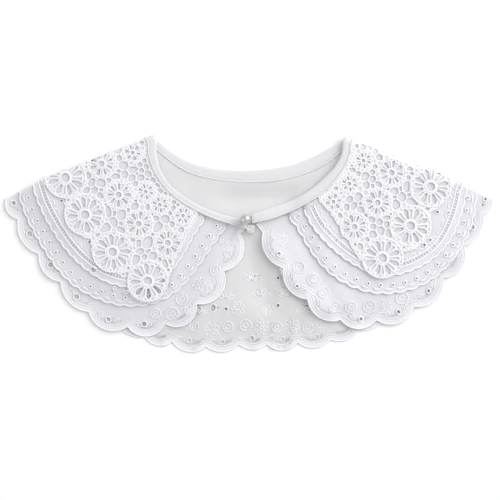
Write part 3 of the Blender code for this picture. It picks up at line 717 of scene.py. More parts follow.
def lay_mesh(data, surface):
    """Moves a flat mesh in millimetres to its place on the collar, in metres."""
    flat = np.empty(len(data.vertices) * 3, np.float32)
    data.vertices.foreach_get("co", flat)
    laid = surface.lay(flat.reshape(-1, 3).astype(float)) * MM
    data.vertices.foreach_set("co", laid.astype(np.float32).ravel())
    data.shade_smooth()
    data.update()


def add_piece(name, data, material):
    piece = bpy.data.objects.new(name, data)
    bpy.context.scene.collection.objects.link(piece)
    data.materials.clear()
    data.materials.append(material)
    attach(piece, "root")
    return piece


def flat_area(data):
    return sum(face.area for face in data.polygons) * MM * MM


def add_cloth(name, data, surface, material, thickness):
    area = flat_area(data)
    spots = np.array([v.co[:2] for v in data.vertices])
    width, length = (spots.max(0) - spots.min(0)) * MM
    lay_mesh(data, surface)
    piece = add_piece(name, data, material)
    wall = piece.modifiers.new("thickness", "SOLIDIFY")
    wall.thickness = thickness * MM
    wall.offset = 0.0
    print(f"{name}: flat {width:.3f} x {length:.3f} m, {area * 1e4:.0f} cm2, {len(data.polygons)} faces")
    return piece


# %% [markdown]
# ## Embroidery
# Satin-stitched edges, eyelet rings, bars and discs are all rounded cords that lie on the cloth.
# One function lays a grid along a path and bends it round into a cord, and all the cords of a
# tier go into one mesh. Its UV map counts millimetres along each cord, for the stitches.

# %% Cords on a flat pattern
class Embroidery:
    """Cords that are drawn flat on one pattern: x, y and how far they stand off the cloth."""

    def __init__(self, name, surface):
        self.name = name
        self.surface = surface
        self.mesh = bmesh.new()
        self.uv = self.mesh.loops.layers.uv.new("UVMap")

    def cord(self, path, width, rise, closed=False, around=6, lift=0.0, tapered=False):
        path = np.asarray(path, float)
        if closed:
            path = np.vstack([path, path[:1]])
        way = np.gradient(path, axis=0)
        if closed:
            way[0] = way[-1] = path[1] - path[-2]
        way /= np.maximum(np.linalg.norm(way, axis=1), 1e-9)[:, None]
        side = np.column_stack([-way[:, 1], way[:, 0]])
        along = lengths_along(path)
        size = np.ones(len(path))
        if not closed:
            size[[0, -1]] = 0.02
            if tapered:
                size = np.maximum(np.sin(np.linspace(0.0, math.pi, len(path))), 0.02)
        made = bmesh.ops.create_grid(
            self.mesh, x_segments=len(path) - 1, y_segments=around, size=1.0
        )
        spots = {}
        for vert in made["verts"]:
            i = round((vert.co.x + 1) / 2 * (len(path) - 1))
            j = round((vert.co.y + 1) / 2 * around)
            spots[vert] = (along[i], j / around)
            turn = TURN * j / around
            flat = path[i] + side[i] * (width / 2 * size[i] * math.cos(turn))
            vert.co = (flat[0], flat[1], lift + rise / 2 * (1.0 + size[i] * math.sin(turn)))
        for face in {f for vert in made["verts"] for f in vert.link_faces}:
            for loop in face.loops:
                loop[self.uv].uv = spots[loop.vert]

    def eyelet(self, x, y, radius, width=0.9, rise=0.6):
        self.cord(ring(x, y, radius + width * 0.35), width, rise, closed=True, around=5)

    def disc(self, x, y, radius):
        """Two rings with stitches that run from one to the other; the outer one is worked to and fro."""
        spokes = round(TURN * radius / 2.2)
        outer = ring(x, y, radius, 2 * spokes)
        outer[::2] = ring(x, y, radius * 0.88, spokes)
        self.cord(outer, 1.0, 0.75, closed=True, around=5)
        self.cord(ring(x, y, radius * 0.42, 10), 1.0, 0.7, closed=True, around=4)
        for k in range(spokes):
            t = TURN * k / spokes
            way = np.array([math.cos(t), math.sin(t)])
            path = np.array([x, y]) + way * np.linspace(radius * 0.5, radius * 0.9, 3)[:, None]
            self.cord(path, 0.8, 0.6, around=4, tapered=True)

    def leaf(self, x, y, length, width, turn):
        """An outline of two arcs, hatched across."""
        c, s = math.cos(turn), math.sin(turn)
        t = np.linspace(0.0, 1.0, 9)
        bulge = np.sin(t * math.pi) * width / 2

        def turned(along, across):
            return np.column_stack([x + along * c - across * s, y + along * s + across * c])

        line = (t - 0.5) * length
        for way in (1, -1):
            self.cord(turned(line, bulge * way), 0.9, 0.7, around=4)
        for k in range(1, 8):
            across = np.array([-bulge[k], 0.0, bulge[k]]) * 0.85
            self.cord(turned(np.full(3, line[k]) + across * 0.35, across), 0.6, 0.32, around=4)

    def blossom(self, x, y, radius, petals=7):
        """A ring with a loop for each petal."""
        self.cord(ring(x, y, radius * 0.24, 9), 1.1, 0.7, closed=True, around=4)
        t = np.linspace(0.0, TURN, 11)
        along = radius * (0.64 - 0.34 * np.cos(t))
        across = radius * 0.26 * np.sin(t) * (0.8 - 0.35 * np.cos(t))
        for k in range(petals):
            turn = TURN * k / petals + x
            c, s = math.cos(turn), math.sin(turn)
            loop = np.column_stack([x + along * c - across * s, y + along * s + across * c])
            self.cord(loop, 0.9, 0.65, around=4)

    def sew_on(self, material=None):
        bmesh.ops.remove_doubles(self.mesh, verts=self.mesh.verts, dist=0.02)
        bmesh.ops.recalc_face_normals(self.mesh, faces=self.mesh.faces)
        data = bpy.data.meshes.new(self.name)
        self.mesh.to_mesh(data)
        self.mesh.free()
        lay_mesh(data, self.surface)
        print(f"{self.name}: {len(data.polygons)} faces")
        return add_piece(self.name, data, material or SATIN)


# %% [markdown]
# ## The base tier
# The widest tier is lawn with large scallops. Its edge is worked in satin stitch, with a round
# eyelet in each scallop, and discs and small leaves are embroidered further in.

# %% Base tier's fronts
Spot = namedtuple("Spot", "x y radius")
BASE_EYELETS = {
    "left": [
        Spot(-216.4, 36.7, 2.0), Spot(-201.7, 8.3, 2.7), Spot(-182.5, -20.2, 2.5),
        Spot(-158.6, -49.5, 2.4), Spot(-129.3, -70.2, 2.0), Spot(-96.3, -74.3, 2.2),
    ],
    "right": [
        Spot(27.5, -10.1, 1.7), Spot(44.0, -39.4, 1.3), Spot(102.7, -69.7, 1.6),
        Spot(137.5, -63.3, 1.7), Spot(165.1, -44.0, 1.5), Spot(205.4, 14.7, 2.1),
        Spot(217.3, 40.3, 1.5),
    ],
}
BASE_DISCS = {
    "left": [
        Spot(-61.7, -51.4, 5.6), Spot(-86.0, -64.4, 5.0), Spot(-70.5, -65.0, 6.2),
        Spot(-19.3, -10.1, 3.4), Spot(-36.7, -42.2, 3.2), Spot(-31.0, -25.0, 5.0),
    ],
    "right": [
        Spot(45.3, -21.9, 5.6), Spot(59.2, -33.5, 6.0), Spot(68.5, -45.2, 5.4), Spot(78.6, -58.3, 5.4),
        Spot(93.3, -58.8, 5.6), Spot(110.4, -58.3, 6.0), Spot(140.6, -50.4, 6.0), Spot(167.0, -35.0, 4.6),
    ],
}
BASE_BLOSSOMS = {
    "left": [Spot(-46.0, -37.0, 6.6), Spot(-55.0, -62.0, 4.6), Spot(-24.0, 2.0, 4.6)],
    "right": [Spot(30.0, 3.0, 5.6), Spot(33.5, -24.5, 5.4), Spot(55.0, -46.0, 4.6), Spot(126.0, -58.0, 5.6)],
}
fronts = {(side, layer): Front(side, layer_radius(layer)) for side in FOLDS for layer in range(4)}


def satin_edge(work, arcs, width, rise, outward, step):
    """A border of close stitches along a hem."""
    path = moved_in(spaced(joined(arcs), step), width * 0.46, outward)
    if isinstance(work.surface, Front):
        path = round_fold(path, work.surface)
    work.cord(path, width, rise, around=8)


def zigzag(work, arcs, near, far, outward):
    """A thread that runs to and fro between two lines inside a hem."""
    hem = spaced(joined(arcs), 1.5)
    path = moved_in(hem, near, outward)
    path[1::2] = moved_in(hem, far, outward)[1::2]
    work.cord(path[4:-4], 0.8, 0.55, around=4)


for side, outward in OUTWARD.items():
    surface = fronts[side, BASE]
    arcs = hems[side][BASE]
    holes = [ring(e.x, e.y, e.radius) for e in BASE_EYELETS[side]]
    data = filled("base_front_cloth_" + side, front_outline(side, joined(arcs), surface), holes)
    cut_to_bend(data, surface)
    cloth = add_cloth(
        "base_front_cloth_" + side, data, surface, LAWN, CLOTH
    )
    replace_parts(cloth, "base_front_" + side)
    work = Embroidery("base_front_embroidery_" + side, surface)
    border = Embroidery("base_front_border_" + side, surface)
    satin_edge(border, arcs, 4.8, 0.3, outward, 1.6)
    border.sew_on(BORDER)
    satin_edge(work, arcs, 1.2, 0.65, outward, 1.5)
    inner = round_fold(moved_in(spaced(joined(arcs), 2.0), 5.4, outward), surface)
    work.cord(inner, 0.8, 0.55, around=4)
    zigzag(work, arcs, 7.0, 9.4, outward)
    for e in BASE_EYELETS[side]:
        work.eyelet(e.x, e.y, e.radius, 1.4, 1.1)
    for disc in BASE_DISCS[side]:
        work.disc(*disc)
    for blossom in BASE_BLOSSOMS[side]:
        work.blossom(*blossom)
    for points in arcs[1:-1]:
        middle = points[ARC_STEPS // 2]
        inner = moved_in(points, 9.5, outward)
        for share in (0.2, 0.8):
            x, y = at_lengths(inner, np.array([share * lengths_along(inner)[-1]]))[0]
            turn = math.atan2(middle[1] - y, middle[0] - x)
            work.leaf(x, y, 7.0, 3.4, turn)
    work.sew_on()

# %% [markdown]
# ## The two middle tiers
# The crescent tier has many small scallops, each with a stitched crescent and a ring eyelet behind it.
# The ladder tier has a line of bars over a dark strip of painted shade where its small openings are, and fans with
# eyelets behind them.

# %% Crescent tier
CRESCENT_EYELET = 0.95
for side, outward in OUTWARD.items():
    surface = fronts[side, CRESCENT]
    arcs = hems[side][CRESCENT]
    line = smooth_line(CRESCENT_HEMS[side])
    spots = spaced(moved_in(line, 6.8, outward), CRESCENT_PITCH, 0.5)
    holes = [ring(x, y, CRESCENT_EYELET, 12) for x, y in spots]
    name = "crescent_front_cloth_" + side
    data = filled(name, front_outline(side, joined(arcs), surface), holes)
    cut_to_bend(data, surface)
    cloth = add_cloth(name, data, surface, LAWN, CLOTH)
    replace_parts(cloth, "crescent_front_" + side)
    work = Embroidery("crescent_front_embroidery_" + side, surface)
    satin_edge(work, arcs, 1.4, 0.6, outward, 1.3)
    for points in arcs:
        work.cord(moved_in(points[1::2], 4.4, outward), 1.5, 0.95, around=5)
    for x, y in spots:
        work.eyelet(x, y, CRESCENT_EYELET, 1.5, 0.9)
    work.sew_on()

# %% Ladder tier
LADDER_IN, LADDER_HALF, RUNG_PITCH = 7.6, 2.1, 2.9
YOKE_COVERS = 3.0  # the stitching ends this far under the yoke
Eyelet = namedtuple("Eyelet", "x y radius")
FAN_EYELETS = {
    "left": [
        Eyelet(-171.5, 38.5, 1.3), Eyelet(-145.8, 0.9, 1.3), Eyelet(-142.1, -24.2, 2.6),
        Eyelet(-114.6, -29.3, 1.5), Eyelet(-122.9, -41.3, 1.2), Eyelet(-112.8, -44.9, 1.2),
    ],
    "right": [
        Eyelet(172.4, 28.4, 1.3), Eyelet(182.5, 28.4, 1.2), Eyelet(160.5, -1.8, 1.4),
        Eyelet(166.0, 2.8, 1.2), Eyelet(190.7, 47.7, 1.2), Eyelet(70.6, 15.6, 1.2),
    ],
}


def runs(points, kept):
    """The stretches of a line whose points are kept."""
    cuts = np.flatnonzero(np.diff(kept.astype(int))) + 1
    parts = zip(np.split(points, cuts), np.split(kept, cuts))
    return [part for part, shown in parts if shown[0] and len(part) > 3]


for side, outward in OUTWARD.items():
    surface = fronts[side, LADDER]
    yoke = moved_in(joined(hems[side][YOKE]), YOKE_COVERS, outward)
    yoke = front_outline(side, yoke, surface)
    arcs = hems[side][LADDER]
    ladder = moved_in(smooth_line(LADDER_HEMS[side]), LADDER_IN, outward)
    rungs = spaced(ladder, RUNG_PITCH)
    eyelets = FAN_EYELETS[side]
    holes = [ring(e.x, e.y, e.radius, 12) for e in eyelets]
    name = "ladder_front_cloth_" + side
    data = filled(name, front_outline(side, joined(arcs), surface), holes)
    cut_to_bend(data, surface)
    cloth = add_cloth(name, data, surface, LAWN, CLOTH)
    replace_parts(cloth, "ladder_front_" + side)
    work = Embroidery("ladder_front_embroidery_" + side, surface)
    satin_edge(work, arcs, 1.5, 0.6, outward, 1.2)
    # The middle strip is painted shade that stands for the openings between the rails.
    gap_shade = Embroidery("ladder_gap_shade_" + side, surface)
    for across, thread, width, rise in (
        (0.0, gap_shade, 3.4, 0.2), (-LADDER_HALF, work, 1.5, 0.9), (LADDER_HALF, work, 1.5, 0.9)
    ):
        rail = spaced(moved_in(ladder, across, outward), 1.6)
        for part in runs(rail, ~within(rail, yoke)):
            if np.array_equal(part[-1], rail[-1]):
                part = round_fold(part, surface)
            thread.cord(part, width, rise)
    gap_shade.sew_on(LADDER_GAP_SHADE)
    in_sight = ~within(rungs, yoke)
    for spot, way in zip(rungs[in_sight], normals(rungs, outward)[in_sight]):
        path = spot + way * np.linspace(-LADDER_HALF, LADDER_HALF, 3)[:, None]
        work.cord(path, 1.3, 0.8, around=4)
    fans = spaced(ladder, LADDER_PITCH)
    in_sight = ~within(fans, yoke)
    for spot, way in zip(fans[in_sight], normals(fans, outward)[in_sight]):
        along = np.array([-way[1], way[0]])
        t = np.linspace(0.0, math.pi, 8)[:, None]
        work.cord(spot - way * 2.4 + along * 3.4 * np.cos(t) - way * 3.6 * np.sin(t), 1.1, 0.7, around=4)
    for e in eyelets:
        work.eyelet(e.x, e.y, e.radius, 1.2, 0.8)
    work.sew_on()

# %% [markdown]
# ## The lace yoke
# Guipure is all cords: it is stitched on a ground that is then dissolved. So it is made as a net of
# cells. Points are set where each opening or petal is to be, the triangles between them are turned
# into cells by a Dual Mesh node, and each cell is inset twice to leave its cord with a rounded edge.
# Cells that are openings lose their middle, and petals keep it.

# %% Points of the net
Flower = namedtuple("Flower", "x y radius petals")
Gap = namedtuple("Gap", "x y length width turn")
BIG, MEDIUM, SMALL = (18.3, 8), (12.7, 8), (8.6, 6)
FLOWERS = {
    "left": [
        Flower(-167.8, 59.6, *BIG), Flower(-149.9, 25.7, *BIG), Flower(-124.7, -8.3, *BIG),
        Flower(-92.6, -34.8, *BIG), Flower(-134.8, 72.4, *MEDIUM), Flower(-119.2, 44.0, *MEDIUM),
        Flower(-100.9, 17.4, *MEDIUM), Flower(-74.3, 0.0, *MEDIUM), Flower(-106.4, 82.5, *SMALL),
        Flower(-94.5, 46.8, *SMALL), Flower(-81.6, 34.8, *SMALL), Flower(-60.5, 24.8, *SMALL),
    ],
    "right": [
        Flower(166.0, 51.4, *BIG), Flower(147.6, 15.6, *BIG), Flower(122.0, -13.8, *BIG),
        Flower(130.2, 64.2, *MEDIUM), Flower(117.4, 36.7, *MEDIUM), Flower(96.3, 14.7, *MEDIUM),
        Flower(104.5, 75.2, *SMALL), Flower(91.7, 54.1, *SMALL), Flower(77.0, 37.6, *SMALL),
    ],
}
GAPS = {
    "left": [
        Gap(-147.1, 61.6, 7.8, 6.2, 90), Gap(-135.3, 55.2, 9.2, 7.0, 0), Gap(-152.8, 46.9, 11.4, 6.4, 10),
        Gap(-121.6, 61.6, 8.6, 5.6, 10), Gap(-136.8, 41.9, 7.2, 7.0, 0), Gap(-129.6, 29.0, 11.4, 5.0, 90),
        Gap(-116.6, 25.9, 9.2, 8.6, 0), Gap(-131.5, 13.4, 10.6, 6.4, 35), Gap(-116.6, 11.1, 7.0, 5.2, 0),
        Gap(-84.4, 13.8, 10.0, 6.2, 60), Gap(-92.7, 0.8, 10.0, 8.2, 70), Gap(-107.2, 0.8, 7.6, 5.0, 90),
        Gap(-101.1, -0.7, 6.2, 5.0, 90), Gap(-104.9, -16.0, 10.0, 7.6, 35), Gap(-88.9, -12.1, 7.6, 7.0, 0),
        Gap(-77.1, -19.3, 7.6, 6.0, 90), Gap(-104.6, 67.0, 7.0, 5.4, 20), Gap(-104.5, 33.0, 7.0, 5.4, 50),
    ],
    "right": [
        Gap(106.5, 61.0, 7.2, 6.2, 30), Gap(118.9, 53.3, 9.6, 5.8, -10), Gap(132.8, 47.1, 9.6, 6.6, -25),
        Gap(144.5, 51.7, 7.6, 6.2, 80), Gap(149.9, 37.0, 10.6, 6.8, -20), Gap(133.6, 35.4, 8.6, 7.0, 80),
        Gap(101.8, 30.0, 6.8, 6.2, -40), Gap(112.7, 20.7, 7.2, 6.6, -40), Gap(111.9, 7.5, 7.2, 6.6, 60),
        Gap(125.9, 23.0, 6.4, 6.0, 0), Gap(128.2, 7.5, 9.6, 7.2, -45), Gap(149.1, 63.3, 6.4, 5.8, -30),
    ],
}
NET, PETAL, SLOT, EYE, PICOT, WIDE, OUTSIDE = range(7)
NET_NEAR, NET_FAR = 4.8, 7.4  # least distance between two openings, at the neck and at the hem
NET_WIDENS = 42.0  # over this distance from the neck
CLOSE, APART = 2.5, 3.6  # room that cords of flowers and edges need, and wide openings
EDGE_SPACING, EDGE_HALF = 3.2, 1.2
PETAL_RINGS, PICOT_RING, FLOWER_CLEAR = (0.46, 0.74), 0.99, 1.10
PICOT_PITCH = 3.5
GAP_PITCH, GAP_MARGIN = 1.8, 1.3
NET_SEED = 5
NET_TRIES = 26000


class Points:
    """The net's points so far: the kind of each cell, the room that it needs and its group."""

    def __init__(self):
        self.spots = []
        self.kinds = []
        self.rooms = []
        self.groups = []  # cells of one group become one opening, and those of group 0 stay single
        self.last = 0

    def add(self, spots, kind, least=0.0, room=CLOSE, as_one=False):
        self.last += as_one
        for spot in np.atleast_2d(spots):
            if least == 0.0 or self.free(spot, least):
                self.spots.append(spot)
                self.kinds.append(kind)
                self.rooms.append(room)
                self.groups.append(self.last if as_one else 0)

    def free(self, spot, least):
        away = np.sqrt(((np.array(self.spots) - spot) ** 2).sum(1))
        return bool((away >= np.minimum(self.rooms, least)).all())


def flower_turn(flower):
    """No two flowers are turned the same way."""
    return math.radians(flower.x * 7.0 % 45.0)


def flower_points(points, flower):
    x, y, radius, petals = flower
    points.add((x, y), EYE)
    for k in range(2 * petals):
        turn = flower_turn(flower) + math.pi * k / petals
        way = np.array([math.cos(turn), math.sin(turn)])
        spots = np.array([x, y]) + np.outer(PETAL_RINGS, way) * radius
        points.add(spots, SLOT if k % 2 else PETAL, as_one=True)
    count = round(TURN * radius * PICOT_RING / PICOT_PITCH)
    points.add(ring(x, y, radius * PICOT_RING, count), PICOT)


def gap_points(gap):
    """Points spread over a wide opening, whose cells become one."""
    steps = np.arange(-3, 4) * GAP_PITCH
    along, across = (grid.ravel() for grid in np.meshgrid(steps, steps))
    inside = np.hypot(
        along / (gap.length / 2 - GAP_MARGIN), across / (gap.width / 2 - GAP_MARGIN)
    ) <= 1.0
    c, s = math.cos(math.radians(gap.turn)), math.sin(math.radians(gap.turn))
    spots = np.column_stack([along * c - across * s, along * s + across * c])
    return spots[inside] + (gap.x, gap.y)


def lace_points(outline, seam, flowers, gaps):
    """Flowers first, then wide openings, both sides of the edge, and the net between them."""
    points = Points()
    for flower in flowers:
        flower_points(points, flower)
    centres = np.array([(f.x, f.y) for f in flowers])
    radii = np.array([f.radius for f in flowers])

    def clear(spots):
        far = np.linalg.norm(spots[:, None] - centres, axis=2) / radii
        return far.min(1) > FLOWER_CLEAR

    for gap in gaps:
        spots = gap_points(gap)
        points.add(spots[clear(spots)], WIDE, GAP_PITCH * 0.95, APART, as_one=True)
    edge = spaced(np.vstack([outline, outline[:1]]), EDGE_SPACING)
    turning = np.sign(np.sum(outline[:, 0] * np.roll(outline[:, 1], -1) - outline[:, 1] * np.roll(outline[:, 0], -1)))
    out = normals(edge, turning)
    inner = edge - out * EDGE_HALF
    inner = inner[clear(inner) & within(inner, outline)]
    points.add(inner, PICOT, 2.0)
    for far in (EDGE_HALF, EDGE_HALF + EDGE_SPACING):
        outer = edge + out * far
        points.add(outer[~within(outer, outline)], OUTSIDE, 1.6)
    rng = np.random.default_rng(NET_SEED)
    low, high = outline.min(0), outline.max(0)
    tries = rng.uniform(low, high, (NET_TRIES, 2))
    tries = tries[within(tries, outline)]
    tries = tries[clear(tries)]
    fixed = len(points.spots)
    from_neck = eased(distances(tries, seam) / NET_WIDENS)
    for spot, share in zip(tries, from_neck):
        spacing = NET_NEAR + (NET_FAR - NET_NEAR) * share
        points.add(spot, NET, spacing, spacing)
    return np.array(points.spots), points.kinds, points.groups, fixed


def triangles(spots):
    found = geometry.delaunay_2d_cdt([Vector(spot) for spot in spots], [], [], 0, 1e-5)
    return found[0], found[2], [origin[0] for origin in found[3]]


def relaxed(spots, fixed, rounds=3):
    """Free points move to the middle of their neighbours, which makes the openings even."""
    for _ in range(rounds):
        _, faces, origins = triangles(spots)
        total, count = np.zeros_like(spots), np.zeros(len(spots))
        for face in faces:
            corners = [origins[k] for k in face]
            for a in corners:
                total[a] += spots[corners].sum(0) - spots[a]
                count[a] += len(corners) - 1
        free = np.arange(len(spots)) >= fixed
        spots[free] = total[free] / count[free, None]
    return spots


# %% Cells, cords and petals
def cell_modifier():
    tree = bpy.data.node_groups.new("cells_between_points", "GeometryNodeTree")
    tree.interface.new_socket("Geometry", in_out="INPUT", socket_type="NodeSocketGeometry")
    tree.interface.new_socket("Geometry", in_out="OUTPUT", socket_type="NodeSocketGeometry")
    start = tree.nodes.new("NodeGroupInput")
    dual = tree.nodes.new("GeometryNodeDualMesh")
    end = tree.nodes.new("NodeGroupOutput")
    tree.links.new(start.outputs[0], dual.inputs[0])
    tree.links.new(dual.outputs[0], end.inputs[0])
    return tree


CELLS = cell_modifier()
Cell = namedtuple("Cell", "cord drop open least")  # least: share of its half width kept open
CELL_FORMS = {
    NET: Cell(0.62, 0.45, True, 0.48),
    PETAL: Cell(0.60, 0.40, False, 0.45),
    SLOT: Cell(0.40, 0.40, True, 0.60),
    EYE: Cell(9.0, 0.45, True, 0.62),
    PICOT: Cell(0.75, 0.30, False, 0.35),
    WIDE: Cell(0.62, 0.45, True, 0.62),
}
CREST = 0.55
CORD_PROFILE = [(0.38, 0.22), (0.62, 0.78)]  # shares of a cord's half width and of its drop
LACE_BODY = 0.45


def evaluated(name, data, kind, **settings):
    holder = bpy.data.objects.new(name, data)
    bpy.context.scene.collection.objects.link(holder)
    modifier = holder.modifiers.new(kind.lower(), kind)
    for key, value in settings.items():
        setattr(modifier, key, value)
    bpy.context.view_layer.update()
    made = bpy.data.meshes.new_from_object(holder.evaluated_get(bpy.context.evaluated_depsgraph_get()))
    bpy.data.objects.remove(holder)
    return made


def lace_mesh(name, outline, seam, flowers, gaps):
    spots, kinds, groups, fixed = lace_points(outline, seam, flowers, gaps)
    spots = relaxed(spots, fixed)
    corners, faces, origins = triangles(spots)
    data = bpy.data.meshes.new(name)
    data.from_pydata([(c[0], c[1], 0.0) for c in corners], [], faces)
    for label, values in (("kind", kinds), ("group", groups)):
        data.attributes.new(label, "INT", "POINT").data.foreach_set("value", [values[k] for k in origins])
    cells = evaluated(name, data, "NODES", node_group=CELLS)
    mesh = bmesh.new()
    mesh.from_mesh(cells)
    painted_shade_mask = mesh.loops.layers.uv.new("UVMap")
    kind = mesh.faces.layers.int["kind"]
    group = mesh.faces.layers.int["group"]
    outside = [f for f in mesh.faces if f[kind] == OUTSIDE]
    bmesh.ops.delete(mesh, geom=outside, context="FACES")
    members = {}
    for face in mesh.faces:
        members.setdefault(face[group], []).append(face)
    members.pop(0)
    for parts in members.values():
        form = parts[0][kind]
        for face in bmesh.ops.dissolve_faces(mesh, faces=parts, use_verts=True)["region"]:
            face[kind] = form
    bmesh.ops.smooth_vert(mesh, verts=mesh.verts, factor=0.4, use_axis_x=True, use_axis_y=True)
    for vert in mesh.verts:
        vert.co.z = CREST
    opened = []
    for face in mesh.faces[:]:
        form = CELL_FORMS[face[kind]]
        half = 2 * face.calc_area() / max(face.calc_perimeter(), 1e-6)
        cord = min(form.cord, half * (1 - form.least))
        if face.normal.z < 0:
            face.normal_flip()
        for across, down in CORD_PROFILE:
            bmesh.ops.inset_individual(
                mesh, faces=[face], thickness=cord * across, depth=-form.drop * down,
                use_even_offset=True,
            )
        if form.open:
            opened.append(face)
        # Mark the sunk middle of the cell, which the lace's colour paints darker as shade.
        for loop in face.loops:
            loop[painted_shade_mask].uv = (1.0, 0.0)
    count = len(opened)
    bmesh.ops.delete(mesh, geom=opened, context="FACES")
    mesh.to_mesh(data)
    mesh.free()
    print(f"{name}: {count} openings, {len(data.polygons)} faces")
    return data


# %% [markdown]
# Each flower is then worked over with raised cords: a ring round its eye, a loop round each petal
# and a ring round them all. On the real lace these are the thickest lines of stitching.

# %% Lace yoke with its flowers
CORD_LIFT = 0.35  # how deep the raised cords sit in the net
PICOT_BUMP = 0.38  # how far the small bumps of a flower's edge stand out


def petal_loop(flower, turn):
    """A loop that widens from the eye to a round tip."""
    reach = flower.radius
    half = reach * 0.6 * math.tan(math.pi / (2 * flower.petals)) * 0.84
    along = np.linspace(0.31, 0.78, 5) * reach
    wide = half * np.linspace(0.40, 1.0, 5)
    tip = np.linspace(0.25, 0.75, 4) * math.pi
    tips = np.column_stack([along[-1] + half * 0.8 * np.sin(tip), half * np.cos(tip)])
    loop = np.vstack([np.column_stack([along, wide]), tips, np.column_stack([along, -wide])[::-1]])
    c, s = math.cos(turn), math.sin(turn)
    return np.array([flower.x, flower.y]) + loop @ np.array([[c, s], [-s, c]])


def raise_flower(work, flower):
    size = 1.0 if flower.radius > 15 else 0.82 if flower.radius > 10 else 0.66
    centre = np.array([flower.x, flower.y])
    sides = 12 + round(flower.radius)
    eye = ring(*centre, flower.radius * 0.25, sides)
    work.cord(eye, 1.5 * size, 0.9 * size, closed=True, lift=CORD_LIFT)
    for k in range(flower.petals):
        turn = TURN * k / flower.petals + flower_turn(flower)
        work.cord(petal_loop(flower, turn), 1.05 * size, 0.9 * size, around=5, lift=CORD_LIFT)
    bumps = round(TURN * flower.radius * PICOT_RING / PICOT_PITCH)
    t = np.arange(bumps * 4) / (bumps * 4) * TURN
    reach = flower.radius * 1.0 + PICOT_BUMP * size * np.cos(bumps * t)
    edge = centre + reach[:, None] * np.column_stack([np.cos(t), np.sin(t)])
    work.cord(edge, 1.15 * size, 0.8 * size, True, 5, CORD_LIFT)


LACE_SINKS = 0.7  # the lace lies close on the tier under it
for side in OUTWARD:
    surface = Front(side, layer_radius(YOKE) - LACE_SINKS)
    name = "lace_yoke_" + side
    outline = front_outline(side, joined(hems[side][YOKE]), surface)
    data = lace_mesh(name, outline, smooth_line(SEAMS[side]), FLOWERS[side], GAPS[side])
    lace = add_cloth(
        name, data, surface, LACE_NET, LACE_BODY
    )
    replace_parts(lace, "lace_front_" + side)
    work = Embroidery("lace_cords_" + side, surface)
    for flower in FLOWERS[side]:
        raise_flower(work, flower)
    work.sew_on(LACE)

# %% [markdown]
# ## The back
# Between the fronts we look at the wrong side of the back, plain lawn near the neck with soft folds,
# and its own scalloped hem below. Embroidery looks flatter from this side.

# %% Back of the base tier
BACK_EYELETS = [
    Spot(-55.0, -89.9, 1.9), Spot(-24.8, -90.8, 1.9), Spot(2.8, -87.6, 1.9), Spot(30.7, -88.5, 1.9),
    Spot(62.4, -86.2, 1.9), Spot(-45.4, -59.6, 1.6), Spot(-21.1, -60.5, 1.6), Spot(26.6, -57.3, 1.5),
    Spot(53.2, -57.8, 1.4), Spot(5.5, -30.3, 1.4), Spot(1.8, -33.9, 1.2), Spot(26.6, -32.1, 1.3),
]
BACK_WIDE_EYELET = Gap(-33.0, -59.6, 7.3, 5.5, 75)
BACK_DISCS = [
    Spot(-19.3, -77.1, 5.0), Spot(-3.2, -75.6, 5.6), Spot(25.4, -77.1, 5.0), Spot(54.0, -77.5, 5.2),
    Spot(-50.7, -76.6, 4.6),
]
BACK_BLOSSOMS = [
    Spot(-34.7, -79.6, 7.0), Spot(11.4, -77.6, 7.4), Spot(39.3, -76.4, 7.4), Spot(-10.4, -60.1, 6.4),
    Spot(66.0, -77.0, 6.0), Spot(-58.0, -74.0, 5.0), Spot(18.0, -62.0, 6.0),
]
BACK_SPRAYS = [
    Spot(2.7, -36.0, 8.5), Spot(10.4, -50.5, 9.0), Spot(-22.0, -52.0, 8.0), Spot(32.0, -50.0, 8.0),
    Spot(-48.0, -66.0, 8.0), Spot(50.0, -66.0, 8.0),
]
SPRAY_TURNS = np.radians([20.0, 62.0, 98.0, 140.0])
back = Back()
back_arcs = scalloped(BACK_HEM, 1)
back_seam = smooth_line(BACK_SEAM)
g = BACK_WIDE_EYELET
wide_hole = ring(g.x, g.y, g.length / 2, 18, g.width / g.length, math.radians(g.turn))
outline = np.vstack([joined(back_arcs), back_seam[::-1]])
holes = [ring(e.x, e.y, e.radius, 12) for e in BACK_EYELETS]
data = filled("base_back_cloth", outline, [*holes, wide_hole])
cut_to_bend(data, back)
# The back's cloth takes the darker, warmer lawn, which paints shade on it.
cloth = add_cloth(
    "base_back_cloth", data, back, LAWN_SHADED_BACK, CLOTH
)
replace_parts(cloth, "base_back")
work = Embroidery("base_back_embroidery", back)
border = Embroidery("base_back_border", back)
satin_edge(border, back_arcs, 4.8, 0.3, 1, 1.6)
border.sew_on(BORDER)
satin_edge(work, back_arcs, 1.2, 0.6, 1, 1.5)
work.cord(moved_in(spaced(joined(back_arcs), 2.0), 5.4, 1), 0.8, 0.5, around=4)
for e in BACK_EYELETS:
    work.eyelet(e.x, e.y, e.radius, 1.1, 0.5)
work.cord(wide_hole, 1.1, 0.5, closed=True, around=5)
zigzag(work, back_arcs, 6.8, 9.6, 1)
for disc in BACK_DISCS:
    work.disc(*disc)
for blossom in BACK_BLOSSOMS:
    work.blossom(*blossom)
for x, y, length in BACK_SPRAYS:
    for turn in SPRAY_TURNS:
        c, s = math.cos(turn), math.sin(turn)
        work.leaf(x + c * length * 0.7, y + s * length * 0.7, length, length * 0.42, turn)
work.sew_on()

# %% [markdown]
# The other three tiers go on under the back. They face the floor, so they show only at their edges
# and from below: each is a sheet that comes down to the floor at its own hem.

# %% Hidden tiers of the back
Under = namedtuple("Under", "name level hem_inset pitch rise material slot")
UNDERS = [
    Under("crescent_back_cloth", 2, 15.0, CRESCENT_PITCH, CRESCENT_RISE, LAWN, "cotton"),
    Under("ladder_back_cloth", 1, 27.0, LADDER_PITCH, LADDER_RISE, LAWN, "cotton"),
    Under("lace_back", 0, 42.0, 30.0, 8.0, LACE, "lace"),
]
UNDER_MIDDLE = 0.45
UNDER_RAMP = 18.0


